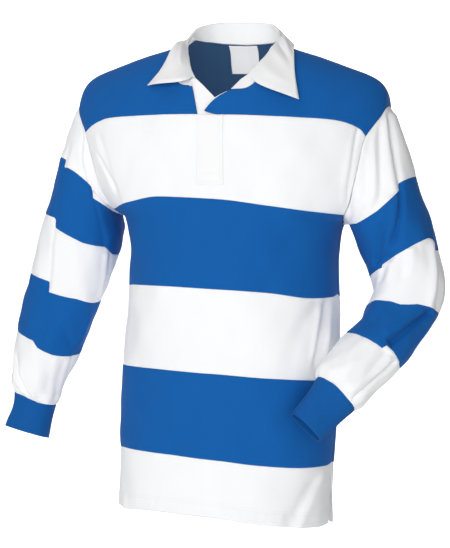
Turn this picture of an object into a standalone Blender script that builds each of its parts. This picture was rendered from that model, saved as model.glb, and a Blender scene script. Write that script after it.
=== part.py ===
"""Rugby shirt with long sleeves, worn form, hollow.

Metres, +Z up, front faces -Y, +X is the wearer's left.
The origin is the neck centre on the shoulder line.
"""
import math

import bpy
import numpy as np

# ---------------------------------------------------------------- sizes
WALL = 0.0016            # jersey panels
RIB_WALL = 0.0022        # rib knit cuffs
TWILL_WALL = 0.0014      # collar and placket
LABEL_WALL = 0.0010      # neck label
GAP = 0.0003             # between pieces that are sewn together
HEM_Z = -0.729
SECTION_POWER = 2.3      # roundness of the body sections
DOME_POWER = 2.2         # roundness of the shoulder
DOME_HEIGHT = 0.165      # shoulder seam down to the full chest depth
ARMPIT_Z = -0.275
TIP_X = 0.2495           # shoulder seam end
NECK_X = 0.082           # shoulder seam at the neck
PANEL_COLS = 20
SHOULDER_COLS = 6
SHOULDER_SPREAD = 1.7    # columns crowd towards the armhole
BACK_NECK_COLS = 8
FRONT_NECK_COLS = 5

# body sections: height z, half width, front depth, back depth
BODY_SECTIONS = (
    (-0.760, 0.1640, 0.116, 0.108),
    (-0.620, 0.1695, 0.120, 0.109),
    (-0.500, 0.1710, 0.124, 0.110),
    (-0.400, 0.1670, 0.126, 0.112),
    (-0.330, 0.1635, 0.128, 0.116),
    (-0.300, 0.1665, 0.128, 0.118),
    (-0.275, 0.1725, 0.128, 0.120),
    (-0.262, 0.1930, 0.128, 0.121),
    (-0.245, 0.2080, 0.128, 0.122),
    (-0.220, 0.2250, 0.127, 0.123),
    (-0.180, 0.2395, 0.124, 0.123),
    (-0.145, 0.2490, 0.122, 0.121),
    (-0.100, 0.2610, 0.118, 0.119),
    (0.040, 0.2680, 0.114, 0.115),
)
# armhole seam: height z, distance from the centre
ARMHOLE = (
    (-0.2750, 0.1725), (-0.2620, 0.1850), (-0.2450, 0.1945), (-0.2200, 0.2030),
    (-0.1900, 0.2110), (-0.1450, 0.2235), (-0.1250, 0.2350), (-0.1100, 0.2435),
    (-0.0930, 0.2495),
)
# sideways lean of the body: height z, shift x
LEAN = (
    (-0.730, 0.0105), (-0.610, 0.0130), (-0.500, 0.0145), (-0.380, 0.0140),
    (-0.330, 0.0136), (-0.275, 0.0105), (-0.200, 0.0065), (-0.145, 0.0020),
    (-0.050, 0.0000), (-0.020, 0.0000), (0.002, 0.0020),
)
# shoulder line: distance from the centre, height z
SHOULDER = (
    (0.000, 0.0350), (0.046, 0.0265), (0.061, 0.0180), (0.071, 0.0100),
    (0.081, 0.0020), (0.092, -0.0035), (0.140, -0.0180), (0.190, -0.0355),
    (0.215, -0.0445), (0.230, -0.0522), (0.240, -0.0610), (0.2465, -0.0735),
    (0.2495, -0.0930), (0.262, -0.1300),
)
# neckline on the front and on the back: distance from the centre, height z
FRONT_NECK_LEFT = ((0.0820, 0.0012), (0.0810, -0.0300), (0.0710, -0.0600),
                   (0.0540, -0.0785), (0.0290, -0.0820))
FRONT_NECK_RIGHT = ((0.0820, 0.0012), (0.0755, -0.0280), (0.0620, -0.0600),
                    (0.0330, -0.0770))
BACK_NECK = ((0.0820, 0.0012), (0.0730, 0.0088), (0.0590, 0.0112),
             (0.0320, 0.0108), (0.0000, 0.0100))
# hoop seams and hem: heights from the wearer's right side edge to the left one, taken at
# these parts of the way out from the centre
SEAM_PLACES = (-1.00, -0.88, -0.60, -0.30, 0.00, 0.30, 0.60, 0.88, 1.00)
SEAMS = {
    "yoke": (-.1440, -.1370, -.1240, -.1210, -.1200, -.1210, -.1226, -.1332, -.1445),
    "chest": (-.2620, -.2612, -.2540, -.2448, -.2468, -.2543, -.2600, -.2622, -.2625),
    "waist": (-.3810, -.3812, -.3797, -.3797, -.3813, -.3838, -.3895, -.3868, -.3820),
    "belly": (-.5010, -.5030, -.5050, -.5055, -.5075, -.5105, -.5120, -.5130, -.5138),
    "hip": (-.6350, -.6345, -.6318, -.6325, -.6357, -.6414, -.6434, -.6430, -.6400),
    "hem": (-.7240, -.7250, -.7252, -.7215, -.7228, -.7290, -.7340, -.7360, -.7335),
}
ARMPIT_CENTRE_Z = -0.2700 # height at the centre of the row through the armpits
# rows of each hoop below the yoke, as parts of its height (the second hoop has its armpit row at 1)
HOOP_ROWS = (
    (0.0, 0.25, 0.5, 0.75, 1.0),
    (0.0, 0.5, 1.0, 1.25, 1.5, 1.75, 2.0),
    (0.0, 0.2, 0.4, 0.6, 0.8, 1.0),
    (0.0, 0.2, 0.4, 0.6, 0.8, 1.0),
    (0.0, 0.22, 0.48, 0.74, 1.0),
)
YOKE_ROWS = 7
VENT_TOP_Z = -0.655
VENT_OPEN = 0.04         # radians each panel is drawn back at the hem
VENT_FLARE = (0.0045, 0.0100)   # outward at the hem, front and back

# placket
CENTRE_SEAM_Z = SEAMS["yoke"][4]
PLACKET_LEFT_X = -0.0230
PLACKET_RIGHT_X = 0.0190
PLACKET_FOOT_Z = -0.2260
OPEN_EDGE_X = -0.0110    # where the open corner of the placket ends, at the yoke seam
RIGHT_FRONT_EDGE_X = -0.0215

# folds on the body: face, x0, z0, x1, z1, width, height (out is +)
BODY_FOLDS = (
    (-1, -0.196, -0.125, -0.176, -0.262, 0.012, 0.0045),
    (-1, -0.212, -0.150, -0.196, -0.235, 0.010, -0.0040),
    (-1, 0.200, -0.130, 0.180, -0.262, 0.012, 0.0035),
    (-1, 0.140, -0.395, 0.150, -0.500, 0.012, 0.0035),
    (-1, 0.118, -0.400, 0.128, -0.470, 0.014, -0.0030),
    (-1, 0.122, -0.655, 0.145, -0.728, 0.014, 0.0040),
    (-1, -0.150, -0.665, -0.135, -0.728, 0.012, 0.0030),
    (1, -0.170, -0.150, -0.140, -0.310, 0.018, 0.0050),
    (1, 0.170, -0.150, 0.140, -0.310, 0.018, 0.0050),
    (1, -0.120, -0.400, -0.140, -0.560, 0.020, 0.0040),
    (1, 0.110, -0.420, 0.135, -0.580, 0.020, 0.0040),
)

# sleeves: station, centre x y z, outer edge vector x y z, half depth, drop of the front edge
LEFT_SLEEVE = (
    (1.0, 0.2440, 0.003, -0.2385, 0.0495, 0.000, 0.0385, 0.068, 0.008),
    (2.0, 0.2790, 0.012, -0.3300, 0.0500, 0.004, 0.0260, 0.064, -0.012),
    (2.5, 0.2880, 0.008, -0.3680, 0.0530, 0.010, 0.0060, 0.060, -0.006),
    (3.0, 0.2815, -0.004, -0.4005, 0.0530, 0.012, -0.0070, 0.057, 0.014),
    (3.5, 0.2680, -0.030, -0.4330, 0.0420, 0.011, -0.0175, 0.052, 0.010),
    (4.0, 0.2495, -0.054, -0.4630, 0.0370, 0.010, -0.0260, 0.048, 0.006),
    (4.7, 0.2115, -0.086, -0.5130, 0.0315, 0.009, -0.0275, 0.042, 0.000),
    (5.0, 0.2010, -0.095, -0.5300, 0.0265, 0.008, -0.0240, 0.032, 0.000),
    (6.0, 0.1645, -0.120, -0.5790, 0.0210, 0.006, -0.0200, 0.027, 0.000),
)
RIGHT_SLEEVE = (
    (1.0, -0.2305, 0.000, -0.2255, -0.0490, 0.000, 0.0415, 0.069, -0.005),
    (1.5, -0.2330, -0.002, -0.2620, -0.0575, 0.000, 0.0360, 0.068, 0.010),
    (2.0, -0.2405, -0.006, -0.3010, -0.0605, 0.000, 0.0300, 0.066, 0.016),
    (3.0, -0.2595, -0.018, -0.3880, -0.0590, 0.000, 0.0190, 0.061, 0.022),
    (4.0, -0.2790, -0.038, -0.4780, -0.0510, 0.000, 0.0155, 0.055, 0.020),
    (4.7, -0.2880, -0.058, -0.5420, -0.0385, 0.000, 0.0120, 0.044, 0.010),
    (5.0, -0.2870, -0.064, -0.5660, -0.0335, 0.000, 0.0085, 0.034, 0.004),
    (6.0, -0.2930, -0.078, -0.6175, -0.0350, 0.000, 0.0075, 0.033, 0.004),
)
SLEEVE_HOOP_ROWS = (5, 4, 4, 4, 5, 3)
CAP_BULGE = 0.001
# folds on the sleeves: station and angle (turns from the outer edge towards the front)
# at each end, width in turns, height
LEFT_SLEEVE_FOLDS = (
    (0.15, 0.10, 1.60, 0.06, 0.050, 0.0050),
    (0.30, 0.20, 1.80, 0.17, 0.050, -0.0040),
    (1.90, 0.30, 2.80, 0.16, 0.060, -0.0060),
    (2.30, 0.10, 3.20, 0.02, 0.050, 0.0050),
    (3.10, 0.05, 3.90, 0.28, 0.060, -0.0045),
    (4.20, 0.45, 4.95, 0.20, 0.060, 0.0045),
)
RIGHT_SLEEVE_FOLDS = (
    (0.40, 0.32, 1.30, 0.26, 0.050, -0.0060),
    (0.80, 0.12, 2.60, 0.13, 0.050, 0.0045),
    (2.60, 0.14, 4.20, 0.12, 0.050, 0.0045),
    (2.70, 0.22, 4.00, 0.25, 0.060, -0.0040),
    (4.10, 0.06, 4.95, 0.20, 0.055, 0.0050),
    (4.10, 0.38, 4.95, 0.36, 0.055, -0.0045),
)

# collar: part of the way round from the right front end, fold line x y z
COLLAR_ROLL = (
    (0.000, -0.0320, -0.1030, -0.0610), (0.080, -0.0430, -0.0870, -0.0460),
    (0.160, -0.0550, -0.0600, -0.0260), (0.245, -0.0670, -0.0300, -0.0030),
    (0.320, -0.0735, 0.0000, 0.0185), (0.390, -0.0650, 0.0280, 0.0355),
    (0.450, -0.0420, 0.0490, 0.0450), (0.500, 0.0000, 0.0580, 0.0460),
    (0.550, 0.0370, 0.0490, 0.0445), (0.610, 0.0590, 0.0290, 0.0340),
    (0.680, 0.0715, 0.0010, 0.0165), (0.755, 0.0735, -0.0310, 0.0010),
    (0.840, 0.0700, -0.0600, -0.0190), (0.925, 0.0590, -0.0870, -0.0440),
    (1.000, 0.0400, -0.1020, -0.0630),
)
# collar fall edge: part of the way round, x, shoulder angle (front is -), lift off the yoke
COLLAR_EDGE = (
    (0.000, -0.1085, -0.970, 0.0045), (0.060, -0.0995, -0.905, 0.0045),
    (0.110, -0.0910, -0.825, 0.0045), (0.160, -0.0845, -0.700, 0.0045),
    (0.220, -0.0835, -0.450, 0.0045), (0.280, -0.0850, -0.140, 0.0040),
    (0.340, -0.0850, 0.150, 0.0045), (0.400, -0.0765, 0.450, 0.0070),
    (0.450, -0.0500, 0.690, 0.0075),
    (0.500, 0.0000, 0.780, 0.0075), (0.550, 0.0400, 0.660, 0.0075),
    (0.600, 0.0680, 0.450, 0.0075), (0.680, 0.0900, 0.060, 0.0060),
    (0.780, 0.1060, -0.380, 0.0050), (0.890, 0.1170, -0.760, 0.0045),
    (1.000, 0.1290, -1.075, 0.0045),
)
SHARED_TURN = math.radians(32)   # panels that meet flatter than this share their directions
FOLD_RADIUS = 0.0028     # outer radius of the collar fold
FALL_LIFT = 0.0050       # least height of the fall over the neck seam
LABEL_X = -0.0055
LABEL_WIDE = 0.047
LABEL_HIGH = 0.041

COLOURS = {
    "blue": (0.0103, 0.1144, 0.3968, 1.0),
    "white": (0.90, 0.90, 0.91, 1.0),
    "twill": (0.93, 0.93, 0.94, 1.0),
    "rib_blue": (0.0095, 0.1050, 0.3650, 1.0),
}


# ---------------------------------------------------------------- curves
def smooth(xs, ys, x):
    """Value at x of the monotone cubic through the table."""
    xs, ys = np.asarray(xs, float), np.asarray(ys, float)
    x = np.clip(np.asarray(x, float), xs[0], xs[-1])
    step = np.diff(xs)
    rise = np.diff(ys) / step
    slope = np.zeros_like(ys)
    slope[0], slope[-1] = rise[0], rise[-1]
    both = rise[:-1] * rise[1:] > 0
    mean = 2 * rise[:-1] * rise[1:] / np.where(both, rise[:-1] + rise[1:], 1.0)
    slope[1:-1] = np.where(both, mean, 0.0)
    k = np.clip(np.searchsorted(xs, x, side="right") - 1, 0, len(xs) - 2)
    t = (x - xs[k]) / step[k]
    return ((2 * t**3 - 3 * t**2 + 1) * ys[k] + (t**3 - 2 * t**2 + t) * step[k] * slope[k]
            + (3 * t**2 - 2 * t**3) * ys[k + 1] + (t**3 - t**2) * step[k] * slope[k + 1])


def spline(xs, rows, x):
    """Points at x of the free cubic through the rows."""
    xs, rows = np.asarray(xs, float), np.asarray(rows, float)
    x = np.atleast_1d(np.asarray(x, float))
    tangent = np.gradient(rows, xs, axis=0, edge_order=1)
    k = np.clip(np.searchsorted(xs, x, side="right") - 1, 0, len(xs) - 2)
    h = (xs[k + 1] - xs[k])[:, None]
    t = ((x - xs[k]) / (xs[k + 1] - xs[k]))[:, None]
    return ((2 * t**3 - 3 * t**2 + 1) * rows[k] + (t**3 - 2 * t**2 + t) * h * tangent[k]
            + (3 * t**2 - 2 * t**3) * rows[k + 1] + (t**3 - t**2) * h * tangent[k + 1])


def column(table, index):
    return [row[index] for row in table]


# ---------------------------------------------------------------- body form
def half_width(z):
    return smooth(column(BODY_SECTIONS, 0), column(BODY_SECTIONS, 1), z)


def depth(face, z):
    return smooth(column(BODY_SECTIONS, 0), column(BODY_SECTIONS, 2 if face < 0 else 3), z)


def edge_x(z):
    """Distance of the armhole or side seam from the centre."""
    arm = smooth(column(ARMHOLE, 0), column(ARMHOLE, 1), z)
    return np.where(np.asarray(z) > ARMPIT_Z, arm, half_width(z))


def shoulder_z(x):
    return smooth(column(SHOULDER, 0), column(SHOULDER, 1), np.abs(x))


def dome(x, z):
    """Part of the full depth left at this height below the shoulder line."""
    u = np.clip((shoulder_z(x) - z) / DOME_HEIGHT, 0.0, 1.0)
    return (1.0 - (1.0 - u) ** DOME_POWER) ** (1.0 / DOME_POWER)


def round_part(x, z):
    r = np.clip(np.abs(x) / half_width(z), 0.0, 1.0)
    return (1.0 - r**SECTION_POWER) ** (1.0 / SECTION_POWER)


def body_y(face, x, z):
    return face * depth(face, z) * round_part(x, z) * dome(x, z)


def fold_height(folds, face, x, z):
    """Sum of the folds of this face at x, z."""
    total = np.zeros(np.shape(x))
    for side, x0, z0, x1, z1, width, height in folds:
        if side != face:
            continue
        length = math.hypot(x1 - x0, z1 - z0)
        ax, az = (x1 - x0) / length, (z1 - z0) / length
        along = ((x - x0) * ax + (z - z0) * az) / length
        across = (x - x0) * az - (z - z0) * ax
        ends = np.clip(np.sin(np.clip(along, 0, 1) * math.pi), 0, 1) ** 0.7
        total = total + height * ends * np.exp(-(across / width) ** 2)
    return total


def body_points(face, x, z):
    """Points of the outer face at x, z with the folds raised."""
    y = body_y(face, x, z)
    out = np.stack([x / half_width(z) ** 2, y / depth(face, z) ** 2, 0.0 * z], -1)
    out = out / np.linalg.norm(out, axis=-1, keepdims=True).clip(1e-9)
    points = np.stack([x, y, z], -1)
    fade = np.clip((1.0 - np.abs(x) / edge_x(z)) / 0.05, 0.0, 1.0)
    return leaned(points + out * (fade * fold_height(BODY_FOLDS, face, x, z))[..., None])


def leaned(points):
    """The points shifted sideways by the lean of the body."""
    moved = np.array(points)
    moved[..., 0] += smooth(column(LEAN, 0), column(LEAN, 1), moved[..., 2])
    return moved


def seam_z(index, s):
    """Height of a hoop seam at the part s of the way from the centre to the side edge."""
    return smooth(SEAM_PLACES, list(SEAMS.values())[index], s)


def hoop_z(index, s, t):
    """Height at the part t of the way down a hoop."""
    top, low = seam_z(index, s), seam_z(index + 1, s)
    if max(t.flat) <= 1.0:
        return top * (1 - t) + low * t
    armpit = ARMPIT_CENTRE_Z - (ARMPIT_CENTRE_Z - ARMPIT_Z) * np.abs(s) ** 3
    return np.where(t <= 1.0, top * (1 - t) + armpit * t, armpit * (2 - t) + low * (t - 1))


def section_x(s, z, face):
    """x at the part s of the way from the centre to the side edge."""
    ratio = np.clip(edge_x(z) / half_width(z), 0.0, 1.0) ** (SECTION_POWER / 2)
    reach = np.arcsin(np.clip(ratio, 0.0, 1.0))
    part = np.clip((VENT_TOP_Z - z) / (VENT_TOP_Z - HEM_Z), 0.0, 1.0)
    reach = reach - VENT_OPEN * part * (1.0 if face < 0 else 0.8)
    return half_width(z) * np.sign(s) * np.sin(np.abs(s) * reach) ** (2 / SECTION_POWER)


def hoop_grid(face, index):
    """Outer face of the hoop between seams index and index + 1, top row first."""
    s = np.linspace(-1.0, 1.0, PANEL_COLS + 1)[None, :]
    t = np.array(HOOP_ROWS[index])[:, None]
    z = hoop_z(index, s, t)
    x = section_x(s + 0 * t, z, face)
    points = body_points(face, x, z)
    vent = np.clip((VENT_TOP_Z - z) / (VENT_TOP_Z - HEM_Z), 0.0, 1.0)
    points[..., 0] += VENT_FLARE[face > 0] * vent * np.sign(s) * np.abs(s) ** 8
    return points


def seam_columns(face):
    """x of the columns along the yoke seam."""
    s = np.linspace(-1.0, 1.0, PANEL_COLS + 1)
    z = seam_z(0, s)
    return section_x(s, z, face), z


def yoke_grid(face, low_x, low_z, top_x, top_z, edges):
    """Outer face of a yoke panel, top row first; edges says which ends are armholes."""
    part = np.linspace(0.0, 1.0, YOKE_ROWS + 1)[:, None]
    start = np.abs(body_y(face, top_x, top_z))
    power = 1.1 + 0.65 * np.exp(-((start / 0.035) ** 2))
    z = top_z[None, :] + (low_z - top_z)[None, :] * part ** power[None, :]
    x = top_x[None, :] + (low_x - top_x)[None, :] * part
    cols = np.linspace(0.0, 1.0, len(low_x))
    for end, sign in edges:
        fix = sign * edge_x(z[:, end]) - x[:, end]
        x = x + fix[:, None] * (cols if end else 1.0 - cols)[None, :] ** 3
    return body_points(face, x, z)


def resample(table, count):
    """Points at even steps along a short open curve, both ends kept."""
    rows = np.array(table, float)
    way = np.concatenate([[0], np.cumsum(np.linalg.norm(np.diff(rows, axis=0), axis=1))])
    return spline(way, rows, np.linspace(0, way[-1], count + 1))


def shoulder_columns():
    """x of the shoulder seam from the armhole to the neck."""
    part = np.linspace(0.0, 1.0, SHOULDER_COLS + 1)
    return TIP_X + (NECK_X - TIP_X) * part ** SHOULDER_SPREAD


def front_right_yoke():
    seam_x, seam_height = seam_columns(-1)
    low_x = np.concatenate([seam_x[:9], [-0.050, -0.036, RIGHT_FRONT_EDGE_X]])
    low_z = np.concatenate([seam_height[:9], [CENTRE_SEAM_Z] * 3])
    neck = resample(FRONT_NECK_RIGHT, FRONT_NECK_COLS)
    top_x = np.concatenate([-shoulder_columns(), -neck[1:, 0]])
    top_z = np.concatenate([shoulder_z(shoulder_columns()), neck[1:, 1]])
    return yoke_grid(-1, low_x, low_z, top_x, top_z, ((0, -1),))


def front_left_yoke():
    seam_x, seam_height = seam_columns(-1)
    low_x = np.concatenate([[OPEN_EDGE_X, 0.016, 0.042], seam_x[12:]])
    low_z = np.concatenate([[CENTRE_SEAM_Z + 0.0050], [CENTRE_SEAM_Z] * 2, seam_height[12:]])
    neck = resample(FRONT_NECK_LEFT[::-1], FRONT_NECK_COLS)
    top_x = np.concatenate([neck[:-1, 0], shoulder_columns()[::-1]])
    top_z = np.concatenate([neck[:-1, 1], shoulder_z(shoulder_columns()[::-1])])
    grid = yoke_grid(-1, low_x, low_z, top_x, top_z, ((-1, 1),))
    lift = np.linspace(0.0, 1.0, YOKE_ROWS + 1)
    grid[:, 0, 0] -= 0.0040 * np.sin(lift * math.pi)
    grid[:, 1, 0] -= 0.0015 * np.sin(lift * math.pi)
    grid[:, 0, 1] -= 0.0055 * np.sin(lift * math.pi * 0.85) ** 1.2
    grid[:, 1, 1] -= 0.0015 * np.sin(lift * math.pi * 0.85)
    return grid


def back_yoke():
    low_x, low_z = seam_columns(1)
    half = resample(BACK_NECK, BACK_NECK_COLS // 2)
    neck = np.concatenate([half * (-1, 1), half[-2::-1]])
    shoulder = shoulder_columns()
    top_x = np.concatenate([-shoulder, neck[1:-1, 0], shoulder[::-1]])
    top_z = np.concatenate([shoulder_z(shoulder), neck[1:-1, 1], shoulder_z(shoulder[::-1])])
    return yoke_grid(1, low_x, low_z, top_x, top_z, ((0, -1), (-1, 1)))


# ---------------------------------------------------------------- sleeves
def armhole_ring(grids, sign):
    """Armhole points from the shoulder tip down the front and up the back."""
    def edge(names):
        parts = []
        for name in names:
            end = grids[name][:, -1 if sign > 0 else 0]
            parts.append(end if not parts else end[1:])
        return np.concatenate(parts)
    yoke = "front_left_yoke" if sign > 0 else "front_right_yoke"
    front = edge((yoke, "front_chest_hoop"))
    back = edge(("back_yoke", "back_chest_hoop"))
    low = -1 if sign > 0 else 0
    front = np.concatenate([front, grids["front_waist_hoop"][1:3, low]])
    back = np.concatenate([back, grids["back_waist_hoop"][1:3, low]])
    return np.concatenate([front, back[-2:0:-1]])


def ring_angles(ring):
    """Angles of the armhole points by their way round, top at 0 and armpit half way."""
    count = len(ring)
    closed = np.concatenate([ring, ring[:1]])
    step = np.linalg.norm(np.diff(closed, axis=0), axis=1)
    half = count // 2
    front = np.cumsum(step[:half]) / step[:half].sum()
    back = np.cumsum(step[half:]) / step[half:].sum()
    return math.pi * np.concatenate([[0.0], front, 1.0 + back[:-1]])


def sleeve_ring(table, station, first_angles):
    """Ring of the sleeve at a station, from the outer edge round by the front."""
    count = len(first_angles)
    keys = column(table, 0)
    rows = [row[1:] for row in table]
    value = spline(keys, rows, station)[0]
    ahead = spline(keys, rows, min(station + 0.1, keys[-1]))[0]
    behind = spline(keys, rows, max(station - 0.1, keys[0]))[0]
    axis = ahead[:3] - behind[:3]
    axis = axis / np.linalg.norm(axis)
    outer = value[3:6]
    front = np.cross(axis, outer / np.linalg.norm(outer))
    front = front - axis * np.dot(front, axis)
    front = front / np.linalg.norm(front)
    if front[1] > 0:
        front = -front
    front = front * value[6] + np.array((0.0, 0.0, -value[7]))
    even = min(max((station - 1.0) / 2.0, 0.0), 1.0)
    angle = first_angles * (1 - even) + np.arange(count) * 2 * math.pi / count * even
    c, s = np.cos(angle), np.sin(angle)
    power = 2 / 2.25
    c = np.sign(c) * np.abs(c) ** power
    s = np.sign(s) * np.abs(s) ** power
    return value[:3] + c[:, None] * outer + s[:, None] * front


def sleeve_rows(table, ring, folds, stations):
    """Outer face of the sleeve at each of the stations."""
    count = len(ring)
    angles = ring_angles(ring)
    rows = []
    for station in stations:
        if station >= 1.0:
            rows.append(sleeve_ring(table, station, angles))
            continue
        first = sleeve_ring(table, 1.0, angles)
        turn = np.arange(count) / count
        top = np.cos(turn * 2 * math.pi).clip(0, 1) ** 1.5
        bulge = CAP_BULGE * math.sin(math.pi * station) * top
        side = math.copysign(1.0, table[0][1])
        rows.append(ring * (1 - station) + first * station
                    + bulge[:, None] * np.array((0.75 * side, 0.0, 0.66)))
    grid = np.stack(rows)
    normal = grid_normals(grid, closed=True)
    middle = grid.mean(axis=1, keepdims=True)
    if np.sum(normal * (grid - middle)) < 0:
        normal = -normal
    station = np.array(stations)[:, None]
    turn = (np.arange(count) / count)[None, :]
    raised = np.zeros(grid.shape[:2])
    for t0, a0, t1, a1, width, height in folds:
        along = np.clip((station - t0) / (t1 - t0), 0.0, 1.0)
        off = (turn - (a0 + (a1 - a0) * along) + 0.5) % 1.0 - 0.5
        raised = raised + height * np.sin(along * math.pi) * np.exp(-(off / width) ** 2)
    return grid + normal * raised[..., None]


def sleeve_grids(grids, sign):
    """Grids of the sleeve hoops and the cuff of one side."""
    table = LEFT_SLEEVE if sign > 0 else RIGHT_SLEEVE
    folds = LEFT_SLEEVE_FOLDS if sign > 0 else RIGHT_SLEEVE_FOLDS
    ring = armhole_ring(grids, sign)
    steps = [np.linspace(k, k + 1, n + 1) for k, n in enumerate(SLEEVE_HOOP_ROWS)]
    stations = np.concatenate([steps[0]] + [s[1:] for s in steps[1:]])
    surface = sleeve_rows(table, ring, folds, stations)
    parts, at = [], 0
    for count in SLEEVE_HOOP_ROWS:
        parts.append(surface[at:at + count + 1])
        at += count
    return parts


# ---------------------------------------------------------------- collar and placket
def yoke_at(x, angle):
    """Point and outward direction on the yoke surface at a shoulder angle."""
    def point(px, pa):
        pa = np.asarray(pa, float)
        c = np.cos(pa).clip(1e-6, 1) ** (2 / DOME_POWER)
        g = np.abs(np.sin(pa)) ** (2 / DOME_POWER)
        z = shoulder_z(px) - DOME_HEIGHT * (1 - c)
        front = depth(-1, z) * round_part(px, z)
        back = depth(1, z) * round_part(px, z)
        return leaned(np.stack([px, np.where(pa < 0, -g * front, g * back), z], -1))
    here = point(x, angle)
    du = point(x + 1e-3, angle) - point(x - 1e-3, angle)
    dv = point(x, angle + 1e-2) - point(x, angle - 1e-2)
    normal = np.cross(du, dv)
    normal = normal / np.linalg.norm(normal, axis=-1, keepdims=True)
    up = np.where(normal[..., 2:3] < 0, -1.0, 1.0)
    return here, normal * up


def outside_of_yoke(points):
    """Signed distance of points from the shoulder surface and its outward direction."""
    def level(p):
        x = p[..., 0] - smooth(column(LEAN, 0), column(LEAN, 1), p[..., 2])
        z = p[..., 2]
        full = np.where(p[..., 1] < 0, depth(-1, z), depth(1, z)) * round_part(x, z)
        part = np.abs(p[..., 1]) / full
        left = np.clip(1.0 - (shoulder_z(x) - z) / DOME_HEIGHT, 0.0, 2.0)
        return part**DOME_POWER + left**DOME_POWER - 1.0
    steps = np.eye(3) * 2e-4
    slope = np.stack([(level(points + d) - level(points - d)) / 4e-4 for d in steps], -1)
    size = np.linalg.norm(slope, axis=-1, keepdims=True).clip(1e-6)
    return level(points) / size[..., 0], slope / size


def cleared(points, distance):
    """The points, moved out where they are nearer to the yoke than the distance."""
    moved = points
    for _ in range(4):
        away, normal = outside_of_yoke(moved)
        short = np.clip(distance - away, 0.0, None)
        moved = moved + normal * short[..., None]
    return moved


def neck_line(grids):
    """Neck seam from the right front end round the back to the left front end."""
    right = grids["front_right_yoke"][0, SHOULDER_COLS:][::-1]
    back = grids["back_yoke"][0, SHOULDER_COLS:-SHOULDER_COLS]
    left = grids["front_left_yoke"][0, :-SHOULDER_COLS][::-1]
    line = np.concatenate([right, back[1:], left[1:]])
    middle = (line[1:] + line[:-1]) / 2
    full = np.empty((2 * len(line) - 1, 3))
    full[0::2], full[1::2] = line, middle
    return full


def unit(vectors):
    return vectors / np.linalg.norm(vectors, axis=-1, keepdims=True).clip(1e-12)


def collar_frame(grids):
    """Neck seam, fold line and free edge of the collar, with the directions of the fold."""
    line = neck_line(grids)
    way = np.concatenate([[0], np.cumsum(np.linalg.norm(np.diff(line, axis=0), axis=1))])
    way = way / way[-1]
    roll = spline(column(COLLAR_ROLL, 0), [row[1:] for row in COLLAR_ROLL], way)
    edge = spline(column(COLLAR_EDGE, 0), [row[1:] for row in COLLAR_EDGE], way)
    point, normal = yoke_at(edge[:, 0], edge[:, 1])
    free = point + normal * edge[:, 2:3]
    tangent = unit(np.gradient(roll, axis=0))
    rise = roll - line
    rise = unit(rise - tangent * np.sum(rise * tangent, axis=1, keepdims=True))
    out = unit(np.cross(tangent, rise))
    if np.sum(out * (line - line.mean(axis=0))) < 0:
        out = -out
    return line, roll, free, rise, out


def collar_stand(grids):
    """Outer face of the stand, neck seam row first."""
    line, roll, _, rise, out = collar_frame(grids)
    _, yoke_out = outside_of_yoke(line)
    along = unit(np.gradient(line, axis=0))
    into = unit(np.cross(along, yoke_out))
    into = into * np.where(np.sum(into * (roll - line), axis=1, keepdims=True) < 0, -1.0, 1.0)
    low = line + into * 0.0016 + rise * 0.0002
    high = roll - rise * (FOLD_RADIUS + 0.0016) - out * (FOLD_RADIUS - TWILL_WALL)
    parts = np.array((0.0, 0.33, 0.67, 1.0))[:, None, None]
    return low[None] * (1 - parts) + high[None] * parts


def collar_fall(grids):
    """Outer face of the fall, from under the fold line over and down to the free edge."""
    line, roll, free, rise, out = collar_frame(grids)
    centre = roll - rise * FOLD_RADIUS
    rows = [centre - out * FOLD_RADIUS - rise * 0.0010]
    for angle in (-0.70, 0.0, 0.70, 1.45):
        rows.append(centre + (rise * math.cos(angle) + out * math.sin(angle)) * FOLD_RADIUS)
    start = rows[-1]
    _, yoke_out = outside_of_yoke(line)
    straight = start + (free - start) * np.array(0.45)
    over = np.sum((straight - line) * yoke_out, axis=1, keepdims=True)
    middle = straight + yoke_out * np.clip(FALL_LIFT - over, 0.0, None) + out * 0.0015
    control = 2 * middle - (start + free) / 2
    for t in (0.16, 0.34, 0.52, 0.70, 0.86, 1.0):
        row = start * (1 - t) ** 2 + control * 2 * t * (1 - t) + free * t * t
        away = np.clip((t - 0.2) / 0.3, 0.0, 1.0) * (WALL + 0.0022)
        rows.append(cleared(row, away) if away > 0 else row)
    return np.stack(rows)


def front_strip(zs, lefts, rights, cols, offset):
    """Strip following the front body at an offset along its outward direction."""
    part = np.linspace(0.0, 1.0, cols + 1)[None, :]
    z = np.asarray(zs, float)[:, None] + 0 * part
    x = np.asarray(lefts, float)[:, None] * (1 - part) + np.asarray(rights)[:, None] * part
    points = np.stack([x, body_y(-1, x, z), z], -1)
    normal = grid_normals(points)
    if np.mean(normal[..., 1]) > 0:
        normal = -normal
    return leaned(points + normal * offset)


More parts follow.
